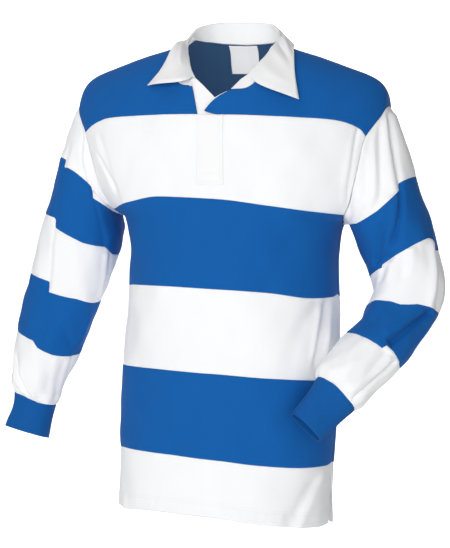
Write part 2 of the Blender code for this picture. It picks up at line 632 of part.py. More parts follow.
def facet_y(grid, points):
    """Height in Y of the flat facets of the grid at each point, none where it has no facet."""
    a, b, c, d = grid[:-1, :-1], grid[1:, :-1], grid[1:, 1:], grid[:-1, 1:]
    tris = np.concatenate([np.stack(t, 2).reshape(-1, 3, 3) for t in ((a, b, c), (a, c, d))])
    flat = tris[:, :, (0, 2)]
    found = np.full(points.shape[:-1], np.nan)
    for at in np.ndindex(found.shape):
        p = points[at][[0, 2]]
        v0, v1, v2 = flat[:, 1] - flat[:, 0], flat[:, 2] - flat[:, 0], p - flat[:, 0]
        area = v0[:, 0] * v1[:, 1] - v0[:, 1] * v1[:, 0]
        area = np.where(np.abs(area) < 1e-12, 1e-12, area)
        s = (v2[:, 0] * v1[:, 1] - v2[:, 1] * v1[:, 0]) / area
        t = (v0[:, 0] * v2[:, 1] - v0[:, 1] * v2[:, 0]) / area
        inside = np.flatnonzero((s >= -1e-6) & (t >= -1e-6) & (s + t <= 1 + 1e-6))
        if len(inside):
            k = inside[0]
            found[at] = tris[k, 0, 1] + s[k] * (tris[k, 1, 1] - tris[k, 0, 1]) \
                + t[k] * (tris[k, 2, 1] - tris[k, 0, 1])
    return found


def placket_underlay(inner):
    zs = (-0.0775, -0.0910, -0.1050, -0.1200, -0.1560, -0.1920, PLACKET_FOOT_Z)
    lefts = (-0.0400, -0.0380, -0.0340, -0.0290, -0.0260, -0.0250, -0.0250)
    rights = (-0.0270, 0.0015, 0.0150, 0.0190, 0.0190, 0.0190, 0.0190)
    strip = front_strip(zs, lefts, rights, 3, -(WALL + 0.0004))
    for name in ("front_right_yoke", "front_chest_hoop"):
        panel = facet_y(inner[name], strip)
        strip[..., 1] = np.fmax(strip[..., 1], panel + 0.0004)
    return strip


def placket_band():
    zs = np.linspace(CENTRE_SEAM_Z - 0.0004, PLACKET_FOOT_Z, 6)
    return front_strip(zs, [PLACKET_LEFT_X] * 6, [PLACKET_RIGHT_X] * 6, 3, GAP + TWILL_WALL)


def placket_facing(yoke, normal):
    """White strip behind the open corner of the placket, showing past its edge."""
    step = unit(yoke[:, 0] - yoke[:, 1])
    strip = np.stack([yoke[:, 0] + step * 0.0016, yoke[:, 0], yoke[:, 1]], axis=1)
    shift = np.stack([normal[:, 0], normal[:, 0], normal[:, 1]], axis=1)
    return (strip - shift * (WALL + GAP + 0.0001))[1:-1], shift[1:-1]


def neck_label(inner):
    """Label hanging from the neck seam on the inner face of the back yoke."""
    xs = np.linspace(LABEL_X - LABEL_WIDE / 2, LABEL_X + LABEL_WIDE / 2, 5)[None, :]
    zs = np.linspace(0.0078, 0.0078 - LABEL_HIGH, 6)[:, None]
    x, z = xs + 0 * zs, zs + 0 * xs
    points = leaned(np.stack([x, 0 * x, z], -1))
    points[..., 1] = facet_y(inner["back_yoke"], points) - 0.0004
    return points


# ---------------------------------------------------------------- solids
def grid_normals(grid, closed=False):
    """Unit directions square to the grid at each point."""
    down = np.gradient(grid, axis=0, edge_order=2 if grid.shape[0] > 2 else 1)
    if closed:
        across = (np.roll(grid, -1, axis=1) - np.roll(grid, 1, axis=1)) / 2
    else:
        across = np.gradient(grid, axis=1, edge_order=2 if grid.shape[1] > 2 else 1)
    normal = np.cross(down, across)
    return normal / np.linalg.norm(normal, axis=-1, keepdims=True).clip(1e-12)


def shared_normals(pieces):
    """Normals of all panels, the same for both sides of each seam.

    Body and sleeve meet at a sharp turn in the armpit; there each keeps its own.
    """
    normals, total = {}, {}
    for name, (grid, closed, reference) in pieces.items():
        normal = grid_normals(grid, closed)
        if name.endswith("yoke"):
            normal = outside_of_yoke(grid)[1]
        if np.sum(normal * (grid - reference)) < 0:
            normal = -normal
        normals[name] = normal
        for key, value in zip(keys_of(grid), normal.reshape(-1, 3)):
            total[key, closed] = total.get((key, closed), 0) + value
    for name, (grid, closed, _) in pieces.items():
        result = []
        for key in keys_of(grid):
            own = unit(total[key, closed])
            other = total.get((key, not closed))
            mean = own if other is None else unit(own + unit(other))
            result.append(mean if np.dot(mean, own) > math.cos(SHARED_TURN) else own)
        normals[name] = np.array(result).reshape(grid.shape)
    return normals


def keys_of(grid):
    return [tuple(row) for row in np.round(grid.reshape(-1, 3) * 2e5).astype(int)]


def draw_in(grid, closed, amount):
    """Move the rim of the grid inwards so that sewn pieces stand apart."""
    result = grid.copy()
    def pull(edge, inner):
        step = inner - edge
        return edge + step / np.linalg.norm(step, axis=-1, keepdims=True) * amount
    result[0], result[-1] = pull(result[0], result[1]), pull(result[-1], result[-2])
    if not closed:
        left = pull(result[:, 0], result[:, 1])
        right = pull(result[:, -1], result[:, -2])
        result[:, 0], result[:, -1] = left, right
    return result


def shell(name, grid, normal, wall, closed, material, collection):
    """Closed solid between the outer grid and the same grid moved in by the wall."""
    outer = draw_in(grid, closed, GAP / 2)
    inner = outer - normal * wall
    nu, nv = grid.shape[:2]
    verts = np.concatenate([outer.reshape(-1, 3), inner.reshape(-1, 3)])
    def at(u, v, side):
        return side * nu * nv + u * nv + v % nv
    faces = []
    spans = nv if closed else nv - 1
    for u in range(nu - 1):
        for v in range(spans):
            ring = [at(u, v, 0), at(u + 1, v, 0), at(u + 1, v + 1, 0), at(u, v + 1, 0)]
            faces.append(ring)
            faces.append([k + nu * nv for k in reversed(ring)])
    for v in range(spans):
        faces.append([at(0, v, 1), at(0, v, 0), at(0, v + 1, 0), at(0, v + 1, 1)])
        faces.append([at(nu - 1, v, 0), at(nu - 1, v, 1), at(nu - 1, v + 1, 1), at(nu - 1, v + 1, 0)])
    if not closed:
        for u in range(nu - 1):
            faces.append([at(u, 0, 0), at(u, 0, 1), at(u + 1, 0, 1), at(u + 1, 0, 0)])
            faces.append([at(u, nv - 1, 1), at(u, nv - 1, 0), at(u + 1, nv - 1, 0), at(u + 1, nv - 1, 1)])
    face_normal = np.cross(outer[1, 0] - outer[0, 0], outer[1, 1 % nv] - outer[0, 0])
    if np.dot(face_normal, normal[0, 0] + normal[1, 0]) < 0:
        faces = [list(reversed(face)) for face in faces]
    faces = [part for a, b, c, d in faces for part in split(a, b, c, d, nu * nv)]
    mesh = bpy.data.meshes.new(name)
    mesh.from_pydata([tuple(map(float, v)) for v in verts], [], faces)
    mesh.materials.append(material)
    mesh.update()
    item = bpy.data.objects.new(name, mesh)
    collection.objects.link(item)
    return item


def split(a, b, c, d, layer):
    """Two triangles of a four-sided face, cut from its first grid corner to the far one."""
    ring = [a, b, c, d]
    first = min(range(4), key=lambda k: (ring[k] % layer, ring[k]))
    ring = ring[first:] + ring[:first]
    return (ring[0], ring[1], ring[2]), (ring[0], ring[2], ring[3])


def make_material(name, colour, rough):
    material = bpy.data.materials.new(name)
    material.use_nodes = True
    shader = material.node_tree.nodes["Principled BSDF"]
    shader.inputs["Base Color"].default_value = colour
    shader.inputs["Roughness"].default_value = rough
    return material


def body_pieces():
    """Outer grids of the body panels."""
    grids = {
        "front_right_yoke": front_right_yoke(),
        "front_left_yoke": front_left_yoke(),
        "back_yoke": back_yoke(),
    }
    names = ("chest_hoop", "waist_hoop", "belly_hoop", "hip_hoop", "hem_hoop")
    for index, name in enumerate(names):
        grids["front_" + name] = hoop_grid(-1, index)
        grids["back_" + name] = hoop_grid(1, index)
    return grids


HOOP_COLOURS = {
    "yoke": "blue", "chest_hoop": "white", "waist_hoop": "blue",
    "belly_hoop": "white", "hip_hoop": "blue", "hem_hoop": "white",
}
SLEEVE_PARTS = (
    ("cap", "white"), ("upper_arm_hoop", "blue"), ("elbow_hoop", "white"),
    ("forearm_hoop", "blue"), ("wrist_hoop", "white"), ("cuff", "rib_blue"),
)


def build():
    for item in list(bpy.data.objects):
        bpy.data.objects.remove(item, do_unlink=True)
    collection = bpy.data.collections.new("rugby_shirt")
    bpy.context.scene.collection.children.link(collection)
    grids = body_pieces()
    centre = np.array((0.0, 0.0, -0.40))
    pieces = {name: (grid, False, centre * (0, 0, 1) + (grid.mean(axis=(0, 1)) * (0, 0, 0.7)))
              for name, grid in grids.items()}
    finish = {}
    for name in grids:
        key = "yoke" if name.endswith("yoke") else name.split("_", 1)[1]
        finish[name] = (WALL, HOOP_COLOURS[key])
    for sign, side in ((1, "left"), (-1, "right")):
        parts = sleeve_grids(grids, sign)
        for (part, colour), grid in zip(SLEEVE_PARTS, parts):
            name = f"{side}_sleeve_{part}" if part != "cuff" else f"{side}_cuff"
            pieces[name] = (grid, True, grid.mean(axis=1, keepdims=True))
            finish[name] = (RIB_WALL if part == "cuff" else WALL, colour)
    normals = shared_normals(pieces)
    inner = {name: pieces[name][0] - normals[name] * WALL for name in grids}
    extra = {
        "collar_stand": (collar_stand(grids), np.array((0.0, -0.03, 0.0)), TWILL_WALL, "twill"),
        "collar_fall": (collar_fall(grids), np.array((0.0, -0.02, -0.10)), TWILL_WALL, "twill"),
        "placket_underlay": (placket_underlay(inner), np.array((0.0, 0.1, -0.15)), 0.0012, "twill"),
        "placket_band": (placket_band(), np.array((0.0, 0.1, -0.15)), TWILL_WALL, "twill"),
        "neck_label": (neck_label(inner), np.array((0.0, -0.1, -0.1)), LABEL_WALL, "twill"),
    }
    for name, (grid, reference, wall, colour) in extra.items():
        normal = grid_normals(grid)
        if np.sum(normal * (grid - reference)) < 0:
            normal = -normal
        pieces[name], normals[name], finish[name] = (grid, False, reference), normal, (wall, colour)
    facing, facing_out = placket_facing(grids["front_left_yoke"], normals["front_left_yoke"])
    pieces["placket_facing"] = (facing, False, centre)
    normals["placket_facing"], finish["placket_facing"] = facing_out, (0.0012, "twill")
    for name, (grid, closed, _) in pieces.items():
        wall, colour = finish[name]
        material = make_material(name, COLOURS[colour], 0.85)
        shell(name, grid, normals[name], wall, closed, material, collection)


build()
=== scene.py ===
"""Hooped rugby shirt in its worn form: knit panels, twill collar and placket, rib cuffs.

Metres, +Z up, the front faces -Y and +X is the wearer's left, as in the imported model.
"""
import logging
import math
from dataclasses import dataclass, field
from enum import Enum

import bpy
import numpy as np
from mathutils import Matrix, Vector


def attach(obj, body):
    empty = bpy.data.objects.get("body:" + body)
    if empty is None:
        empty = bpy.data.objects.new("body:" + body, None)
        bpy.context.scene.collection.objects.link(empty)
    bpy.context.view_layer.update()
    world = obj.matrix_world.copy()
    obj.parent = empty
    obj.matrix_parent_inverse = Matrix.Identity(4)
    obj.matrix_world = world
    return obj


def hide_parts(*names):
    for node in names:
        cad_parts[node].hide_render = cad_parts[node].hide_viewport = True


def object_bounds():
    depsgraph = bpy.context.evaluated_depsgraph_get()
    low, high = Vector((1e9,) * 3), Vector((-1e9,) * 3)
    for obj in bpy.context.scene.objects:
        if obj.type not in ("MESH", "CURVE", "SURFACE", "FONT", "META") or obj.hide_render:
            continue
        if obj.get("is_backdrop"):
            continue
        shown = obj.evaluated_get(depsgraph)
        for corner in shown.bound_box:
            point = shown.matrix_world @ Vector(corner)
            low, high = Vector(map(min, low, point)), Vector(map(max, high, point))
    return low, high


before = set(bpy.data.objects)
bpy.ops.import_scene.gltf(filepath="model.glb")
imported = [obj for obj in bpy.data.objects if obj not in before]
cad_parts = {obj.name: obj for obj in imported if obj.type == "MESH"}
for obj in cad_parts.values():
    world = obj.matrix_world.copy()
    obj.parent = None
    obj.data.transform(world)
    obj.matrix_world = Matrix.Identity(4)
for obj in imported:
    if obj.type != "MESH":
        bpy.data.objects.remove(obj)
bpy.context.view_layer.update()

LOG = logging.getLogger("rugby_shirt")
Array = np.ndarray
Table = tuple[tuple[float, ...], ...]
Colour = tuple[float, float, float]
MM = 0.001
TURN = 2 * math.pi
SEAM_EDGE = (0.0, 0.0007, 0.0016, 0.0030, 0.0050)   # row distances from a seam
JERSEY_DEPTH = 0.0016   # how far below the jersey's outer face the next cloth may start
SLEEVE_GIRTH = 0.36     # metres that one turn stands for in the folds of a sleeve
SLEEVE_PITCH = 0.115    # metres that one station stands for
GATHER = 0.00022        # height of the gathers beside a seam
GATHER_REACH = 0.009    # how far from the seam they die out
ROLL = 0.00075          # how far the cloth turns in at a seam
ROLL_REACH = 0.0016
# slow waves of hanging cloth: height, waves a metre each way, phase
RIPPLES = (
    (0.0009, 7.1, 2.9, 0.3), (0.0007, -9.3, 4.7, 1.9), (0.0005, 14.9, 8.3, 4.1),
    (0.0004, 21.7, -11.9, 2.6), (0.0003, 5.3, 19.1, 5.2),
)


class Face(Enum):
    """Side of the body that a panel covers."""

    FRONT = -1
    BACK = 1

    @property
    def row(self) -> int:
        """Its place in pairs that give the front first."""
        return int(self is Face.BACK)


class Side(Enum):
    """The wearer's side that a sleeve is on."""

    LEFT = 1
    RIGHT = -1


# ---------------------------------------------------------------- curves
def hermite(t: Array, step: Array, low: Array, high: Array, leave: Array, arrive: Array) -> Array:
    """Cubic between two rows.

    Args:
        t: part of the way, 0 to 1.
        step: distance between the rows.
        low: value at the first row.
        high: value at the second.
        leave: slope at the first row.
        arrive: slope at the second.

    Returns:
        The values.
    """
    return ((2 * t**3 - 3 * t**2 + 1) * low + (t**3 - 2 * t**2 + t) * step * leave
            + (3 * t**2 - 2 * t**3) * high + (t**3 - t**2) * step * arrive)


def smooth(xs: Array | list, ys: Array | list, x: Array | float) -> Array:
    """Monotone cubic through a table.

    Args:
        xs: rising places of the rows.
        ys: values of the rows.
        x: where the curve is wanted.

    Returns:
        The values at x.
    """
    xs, ys = np.asarray(xs, float), np.asarray(ys, float)
    x = np.clip(np.asarray(x, float), xs[0], xs[-1])
    step = np.diff(xs)
    rise = np.diff(ys) / step
    slope = np.zeros_like(ys)
    slope[0], slope[-1] = rise[0], rise[-1]
    both = rise[:-1] * rise[1:] > 0
    mean = 2 * rise[:-1] * rise[1:] / np.where(both, rise[:-1] + rise[1:], 1.0)
    slope[1:-1] = np.where(both, mean, 0.0)
    k = np.clip(np.searchsorted(xs, x, side="right") - 1, 0, len(xs) - 2)
    return hermite((x - xs[k]) / step[k], step[k], ys[k], ys[k + 1], slope[k], slope[k + 1])


def spline(xs: Array | list, rows: Array | list, x: Array | float) -> Array:
    """Free cubic through rows of points.

    Args:
        xs: rising places of the rows.
        rows: one point in each row.
        x: where points are wanted.

    Returns:
        One point for each x.
    """
    xs, rows = np.asarray(xs, float), np.asarray(rows, float)
    x = np.atleast_1d(np.asarray(x, float))
    tangent = np.gradient(rows, xs, axis=0, edge_order=1)
    k = np.clip(np.searchsorted(xs, x, side="right") - 1, 0, len(xs) - 2)
    step = (xs[k + 1] - xs[k])[:, None]
    t = (x - xs[k])[:, None] / step
    return hermite(t, step, rows[k], rows[k + 1], tangent[k], tangent[k + 1])


def look_up(table: Table, index: int, x: Array | float) -> Array:
    """Smooth values of a table's column at places x of its first column."""
    rows = np.array(sorted(table))
    return smooth(rows[:, 0], rows[:, index], x)


def follow(table: Table, x: Array | float) -> Array:
    """Points on the free curve through a table whose first column is the place along it."""
    rows = np.array(table)
    return spline(rows[:, 0], rows[:, 1:], x)


def unit(vectors: Array) -> Array:
    """The vectors at length one."""
    return vectors / np.linalg.norm(vectors, axis=-1, keepdims=True).clip(1e-12)


def ease(t: Array) -> Array:
    """Soft step from 0 to 1 as t goes from 0 to 1."""
    t = np.clip(t, 0.0, 1.0)
    return t * t * (3 - 2 * t)


def bell(distance: Array, width: Array | float) -> Array:
    """Bell curve, 1 at distance 0."""
    return np.exp(-((distance / width) ** 2))


def way_along(line: Array) -> Array:
    """Distance from the start at each point of a line."""
    return np.concatenate([[0], np.cumsum(np.linalg.norm(np.diff(line, axis=0), axis=1))])


def at_way(way: Array, line: Array, where: Array) -> Array:
    """Points of a line at the distances where, way being the distance of its own points."""
    return np.stack([np.interp(where, way, line[:, k]) for k in range(3)], -1)


def resample(table: Table, count: int) -> Array:
    """The ends and even steps of a short open curve, count + 1 points."""
    way = way_along(np.array(table))
    return spline(way, table, np.linspace(0, way[-1], count + 1))


def spread(count: int, length: float, first: bool = True, last: bool = True) -> Array:
    """Places of rows from 0 to 1, close together beside the seams.

    Args:
        count: number of even steps between the seams.
        length: the distance that 0 to 1 stands for, in metres.
        first: whether there is a seam at 0.
        last: whether there is a seam at 1.

    Returns:
        The rising places, 0 and 1 among them.
    """
    near = np.array(SEAM_EDGE) / length
    low = near if first else np.array([0.0])
    high = 1 - near[::-1] if last else np.array([1.0])
    return np.concatenate([low, np.linspace(low[-1], high[0], count + 1)[1:-1], high])


def grid_normals(grid: Array, closed: bool = False) -> Array:
    """Directions square to a grid.

    Args:
        grid: points in rows and columns.
        closed: whether the last column joins the first.

    Returns:
        One unit vector for each point.
    """
    down = np.gradient(grid, axis=0, edge_order=2)
    if closed:
        across = (np.roll(grid, -1, axis=1) - np.roll(grid, 1, axis=1)) / 2
    else:
        across = np.gradient(grid, axis=1, edge_order=2)
    return unit(np.cross(down, across))


def facing_out(normal: Array, grid: Array, middle: Array) -> Array:
    """The normals, turned round where they look towards the middle."""
    return -normal if np.sum(normal * (grid - middle)) < 0 else normal


# ---------------------------------------------------------------- folds
@dataclass(frozen=True)
class Crease:
    """One soft fold line, in millimetres on the panel; a positive height is a ridge.

    skew is how much wider the far side falls away, bow bends the line sideways, and the fades
    are the parts of the length over which its ends die out.
    """

    start_u: float
    start_v: float
    end_u: float
    end_v: float
    width: float
    height: float
    skew: float = 1.0
    bow: float = 0.0
    fade_in: float = 0.35
    fade_out: float = 0.35

    def relief(self, u: Array, v: Array) -> Array:
        """Height of the fold.

        Args:
            u: places on the panel in metres.
            v: the same in the panel's other direction.

        Returns:
            Heights in metres.
        """
        du, dv = self.end_u - self.start_u, self.end_v - self.start_v
        length = math.hypot(du, dv)
        au, av = du / length, dv / length
        u, v = u / MM - self.start_u, v / MM - self.start_v
        along, across = (u * au + v * av) / length, u * av - v * au
        part = np.clip(along, 0, 1)
        across = across - self.bow * 4 * part * (1 - part)
        ramp = ease(along / self.fade_in) * ease((1 - along) / self.fade_out)
        wide = np.where(across > 0, self.width * self.skew, self.width)
        return self.height * MM * ramp * bell(across, wide)


def ripple(u: Array, v: Array, phase: float) -> Array:
    """Slow waves of hanging cloth, about a millimetre high.

    Args:
        u: places on the panel in metres.
        v: the same in the panel's other direction.
        phase: what sets one panel's waves apart from another's.

    Returns:
        Heights in metres.
    """
    total = np.zeros(np.broadcast(u, v).shape)
    for high, across, down, start in RIPPLES:
        total = total + high * np.sin(TURN * (u * across + v * down) + start + phase)
    return total


def pucker(along: Array, distance: Array, seed: float) -> Array:
    """Small gathers that a seam draws into the cloth beside it.

    Args:
        along: place along the seam.
        distance: from the seam.
        seed: what sets one seam's gathers apart from another's.

    Returns:
        Heights in metres.
    """
    wave = (np.sin(TURN * along / 0.0135 + 1.9 * np.sin(along * 31 + seed))
            + 0.7 * np.sin(TURN * along / 0.0223 + 2.3 * np.sin(along * 17 + seed)))
    return GATHER * wave * np.exp(-distance / GATHER_REACH)


def seam_roll(distance: Array) -> Array:
    """How far the cloth turns in at a seam."""
    return -ROLL * bell(distance, ROLL_REACH)


def seam_relief(along: Array, distance: Array, seed: float) -> Array:
    """Turned-in edge and gathers together."""
    return seam_roll(distance) + pucker(along, distance, seed)


# ---------------------------------------------------------------- finishes
class Signal:
    """A value that varies over the cloth: one output in a material's node tree."""

    def __init__(self, socket: bpy.types.NodeSocket) -> None:
        """Hold the output."""
        self.socket = socket

    def maths(self, operation: str, *others: "Signal | float") -> "Signal":
        """Result of a Math node.

        Args:
            operation: Blender's name for it.
            others: what goes into the inputs after this value.

        Returns:
            The node's output.
        """
        node = self.socket.id_data.nodes.new("ShaderNodeMath")
        node.operation = operation
        feed(node, dict(enumerate((self, *others))))
        return Signal(node.outputs[0])

    def __add__(self, other: "Signal | float") -> "Signal":
        """Sum."""
        return self.maths("ADD", other)

    def __mul__(self, other: "Signal | float") -> "Signal":
        """Product."""
        return self.maths("MULTIPLY", other)

    def __truediv__(self, other: float) -> "Signal":
        """Share."""
        return self.maths("DIVIDE", other)

    def ridges(self) -> "Signal":
        """Round ridges, one for each half turn of this value in radians."""
        return self.maths("SINE").maths("ABSOLUTE")


def feed(node: bpy.types.Node, inputs: dict) -> None:
    """Link signals into a node, and set its other inputs to plain values.

    Args:
        node: the node.
        inputs: a signal or value for each input's number or name.
    """
    for key, value in inputs.items():
        if isinstance(value, Signal):
            node.id_data.links.new(value.socket, node.inputs[key])
        else:
            node.inputs[key].default_value = value


class ClothNodes:
    """One node material over the cloth's own metres, across and down."""

    def __init__(self, name: str) -> None:
        """Start a material with a Principled shader.

        Args:
            name: of the material.
        """
        self.material = bpy.data.materials.new(name)
        self.material.use_nodes = True
        self.nodes = self.material.node_tree.nodes
        self.shader = self.nodes["Principled BSDF"]
        self.place = Signal(self.nodes.new("ShaderNodeTexCoord").outputs["UV"])
        split = self.node("ShaderNodeSeparateXYZ", {0: self.place})
        self.across, self.down = Signal(split.outputs[0]), Signal(split.outputs[1])

    def node(self, kind: str, inputs: dict, **settings: str) -> bpy.types.Node:
        """A new node.

        Args:
            kind: Blender's name for it.
            inputs: a signal or value for each input.
            settings: its properties, set first.

        Returns:
            The node.
        """
        node = self.nodes.new(kind)
        for key, value in settings.items():
            setattr(node, key, value)
        feed(node, inputs)
        return node

    def noise(self, scale: float, detail: float) -> Signal:
        """Noise between 0 and 1 over the cloth."""
        inputs = {"Vector": self.place, "Scale": scale, "Detail": detail}
        return Signal(self.node("ShaderNodeTexNoise", inputs).outputs[0])


@dataclass(frozen=True)
class ClothFinish:
    """What all cloths share: two shades mixed by the pattern, its bump, and a dull sheen."""

    name: str
    colour: Colour
    dark: float = 1.0           # the two shades, as parts of the colour
    light: float = 1.0
    relief: float = 0.00012     # height of the bump in metres
    strength: float = 0.35
    roughness: float = 0.90
    sheen: float = 0.04
    nap: float = 0.5            # roughness of the sheen
    gloss: float = 0.12

    def pattern(self, cloth: ClothNodes) -> tuple[Signal, Signal]:
        """Amount of the light shade, and height of the bump."""
        raise NotImplementedError

    def shade(self, factor: float) -> tuple[float, ...]:
        """The colour made darker or lighter."""
        return (*(min(1.0, value * factor) for value in self.colour), 1.0)

    def material(self) -> bpy.types.Material:
        """Build the material.

        Returns:
            The new material.
        """
        cloth = ClothNodes(self.name)
        amount, height = self.pattern(cloth)
        shades = {0: amount, 6: self.shade(self.dark), 7: self.shade(self.light)}
        mix = cloth.node("ShaderNodeMix", shades, data_type="RGBA")
        bump = cloth.node("ShaderNodeBump", {
            "Strength": self.strength, "Distance": self.relief, "Height": height})
        feed(cloth.shader, {
            "Base Color": Signal(mix.outputs[2]), "Normal": Signal(bump.outputs[0]),
            "Roughness": self.roughness, "Sheen Weight": self.sheen, "Sheen Roughness": self.nap,
            "Specular IOR Level": self.gloss})
        return cloth.material


@dataclass(frozen=True)
class JerseyFinish(ClothFinish):
    """Plain knit cotton: columns of small V stitches, soft fuzz and slow shade changes."""

    wale: float = 0.0013
    course: float = 0.0010

    def pattern(self, cloth: ClothNodes) -> tuple[Signal, Signal]:
        """Stitches of two slanting arms.

        Args:
            cloth: the material to build in.

        Returns:
            Amount of the light shade, and height of the bump.
        """
        arm = (cloth.across / self.wale).maths("FRACT").maths("SUBTRACT", 0.5).maths("ABSOLUTE")
        loop = ((cloth.down / self.course + arm * 1.3) * math.pi).ridges()
        stitch = loop * (arm * TURN).maths("COSINE").maths("MULTIPLY_ADD", -0.35, 0.5)
        body = loop * 0.65 + stitch * 0.5
        fuzz, slow = cloth.noise(950.0, 3.0), cloth.noise(14.0, 4.0)
        return body * 0.45 + (fuzz * 0.30 + slow * 0.45), body + fuzz * 0.5


@dataclass(frozen=True)
class TwillFinish(ClothFinish):
    """Cotton twill: fine slanting ridges crossed by the weft."""

    dark: float = 0.95
    relief: float = 0.00010
    strength: float = 0.30
    roughness: float = 0.80
    sheen: float = 0.08
    nap: float = 0.4
    gloss: float = 0.3
    pitch: float = 0.0008

    def pattern(self, cloth: ClothNodes) -> tuple[Signal, Signal]:
        """Slanting ridges and level weft.

        Args:
            cloth: the material to build in.

        Returns:
            Amount of the light shade, and height of the bump.
        """
        ridge = ((cloth.across + cloth.down * 0.85) / self.pitch * math.pi).ridges()
        woven = ridge * 0.7 + (cloth.down / (self.pitch / 4.5)).ridges() * 0.3
        fuzz, slow = cloth.noise(800.0, 2.0), cloth.noise(20.0, 3.0)
        return woven * 0.5 + (fuzz * 0.2 + slow * 0.4), woven + fuzz * 0.3


@dataclass(frozen=True)
class RibFinish(ClothFinish):
    """Rib knit: columns of loops, with painted shade in the hollows between the ribs that the mesh
    raises.
    """

    # dark and light lie far apart: the dark share is painted shade in the hollows between the ribs
    dark: float = 0.72
    light: float = 1.10
    roughness: float = 0.86
    ribs: int = 66
    girth: float = 0.20
    course: float = 0.0011

    def pattern(self, cloth: ClothNodes) -> tuple[Signal, Signal]:
        """Ribs and the loops along them.

        Args:
            cloth: the material to build in.

        Returns:
            Amount of the light shade, and height of the bump.
        """
        turn = cloth.across * (TURN * self.ribs / self.girth)
        # rib is light along the ribs and dark between them: painted shade for the hollows
        rib = turn.maths("COSINE").maths("MULTIPLY_ADD", 0.5, 0.5)
        loops = (cloth.down / (self.course / math.pi)).ridges()
        fuzz, slow = cloth.noise(900.0, 3.0), cloth.noise(22.0, 3.0)
        return rib * 0.5 + (loops * 0.15 + (fuzz * 0.2 + slow * 0.3)), loops + fuzz


@dataclass(frozen=True)
class ThreadFinish(ClothFinish):
    """Sewing thread: two plies twisted round each other."""

    dark: float = 0.82
    relief: float = 0.00005
    strength: float = 0.3
    roughness: float = 0.55
    sheen: float = 0.1
    gloss: float = 0.4
    ply: float = 0.00012

    def pattern(self, cloth: ClothNodes) -> tuple[Signal, Signal]:
        """Slanting plies, as shade and as bump."""
        turn = (cloth.across + cloth.down) / self.ply
        return (turn.maths("SINE").maths("MULTIPLY_ADD", 0.5, 0.5),) * 2


@dataclass(frozen=True)
class SatinFinish(ClothFinish):
    """Woven label satin: fine level lines and a faint gloss."""

    dark: float = 0.93
    relief: float = 0.00004
    strength: float = 0.25
    roughness: float = 0.45
    sheen: float = 0.05
    gloss: float = 0.4
    weft: float = 0.00035
    warp: float = 0.0006

    def pattern(self, cloth: ClothNodes) -> tuple[Signal, Signal]:
        """Level lines crossed by upright threads.

        Args:
            cloth: the material to build in.

        Returns:
            Amount of the light shade, and height of the bump.
        """
        lines = (cloth.down / (self.weft / math.pi)).ridges()
        woven = lines * 0.6 + (cloth.across / (self.warp / math.pi)).ridges() * 0.4
        return woven, woven


@dataclass(frozen=True)
class StudioFinish:
    """Pale matt floor and backdrop."""

    name: str = "studio_white"
    colour: Colour = (0.93, 0.93, 0.93)
    roughness: float = 0.9
    gloss: float = 0.1

    def material(self) -> bpy.types.Material:
        """Build the plain material.

        Returns:
            The new material.
        """
        plain = ClothNodes(self.name)
        feed(plain.shader, {"Base Color": (*self.colour, 1.0), "Roughness": self.roughness,
                            "Specular IOR Level": self.gloss})
        return plain.material


@dataclass
class Wardrobe:
    """All finishes of the shirt, each built once."""

    finishes: tuple = (
        JerseyFinish("blue_jersey", (0.0055, 0.1080, 0.3850), 0.90, 1.06),
        # inner faces of the blue cloth: a greyer, less saturated blue, painted light for the haze seen
        # inside the shirt; the knit's reverse is really the same blue
        JerseyFinish("blue_jersey_reverse", (0.0310, 0.0800, 0.1750), 0.84, 1.096),
        JerseyFinish("white_jersey", (0.925, 0.928, 0.938), 0.965, 1.021, sheen=0.05),
        TwillFinish("white_twill", (0.940, 0.940, 0.948)),
        RibFinish("blue_rib", (0.0060, 0.1060, 0.3750)),
        ThreadFinish("white_thread", (0.93, 0.93, 0.94)),
        SatinFinish("label_satin", (0.94, 0.94, 0.95)),
        StudioFinish(),
    )
    made: dict[str, bpy.types.Material] = field(default_factory=dict)

    def __getitem__(self, name: str) -> bpy.types.Material:
        """The material of a finish.

        Args:
            name: of the finish.

        Returns:
            Its material, built at the first call.
        """
        if name not in self.made:
            self.made[name] = next(item for item in self.finishes if item.name == name).material()
        return self.made[name]


# ---------------------------------------------------------------- meshes
def mesh_object(name: str, verts: Array, faces: Array, spots: Array, flat: Array,
                material: bpy.types.Material) -> bpy.types.Object:
    """Put arrays into a Blender mesh.

    Args:
        name: of the object.
        verts: points.
        faces: four point numbers for each face.
        spots: the cloth's own metres at each corner.
        flat: which faces stay flat.
        material: of the whole mesh.

    Returns:
        The object, linked to the scene.
    """
    mesh = bpy.data.meshes.new(name)
    mesh.vertices.add(len(verts))
    mesh.vertices.foreach_set("co", np.ascontiguousarray(verts, dtype=np.float32).ravel())
    mesh.loops.add(faces.size)
    mesh.loops.foreach_set("vertex_index", np.ascontiguousarray(faces, dtype=np.int32).ravel())
    mesh.polygons.add(len(faces))
    mesh.polygons.foreach_set("loop_start", np.arange(0, faces.size, 4, dtype=np.int32))
    mesh.polygons.foreach_set("use_smooth", np.ascontiguousarray(~flat, dtype=bool))
    layer = mesh.uv_layers.new(name="cloth")
    layer.data.foreach_set("uv", np.ascontiguousarray(spots, dtype=np.float32).ravel())
    mesh.materials.append(material)
    mesh.update(calc_edges=True)
    mesh.validate()
    return linked(name, mesh)


def linked(name: str, data: bpy.types.ID) -> bpy.types.Object:
    """A new object of the scene.

    Args:
        name: its name.
        data: its mesh, light or camera.

    Returns:
        The object.
    """
    item = bpy.data.objects.new(name, data)
    bpy.context.scene.collection.objects.link(item)
    return item


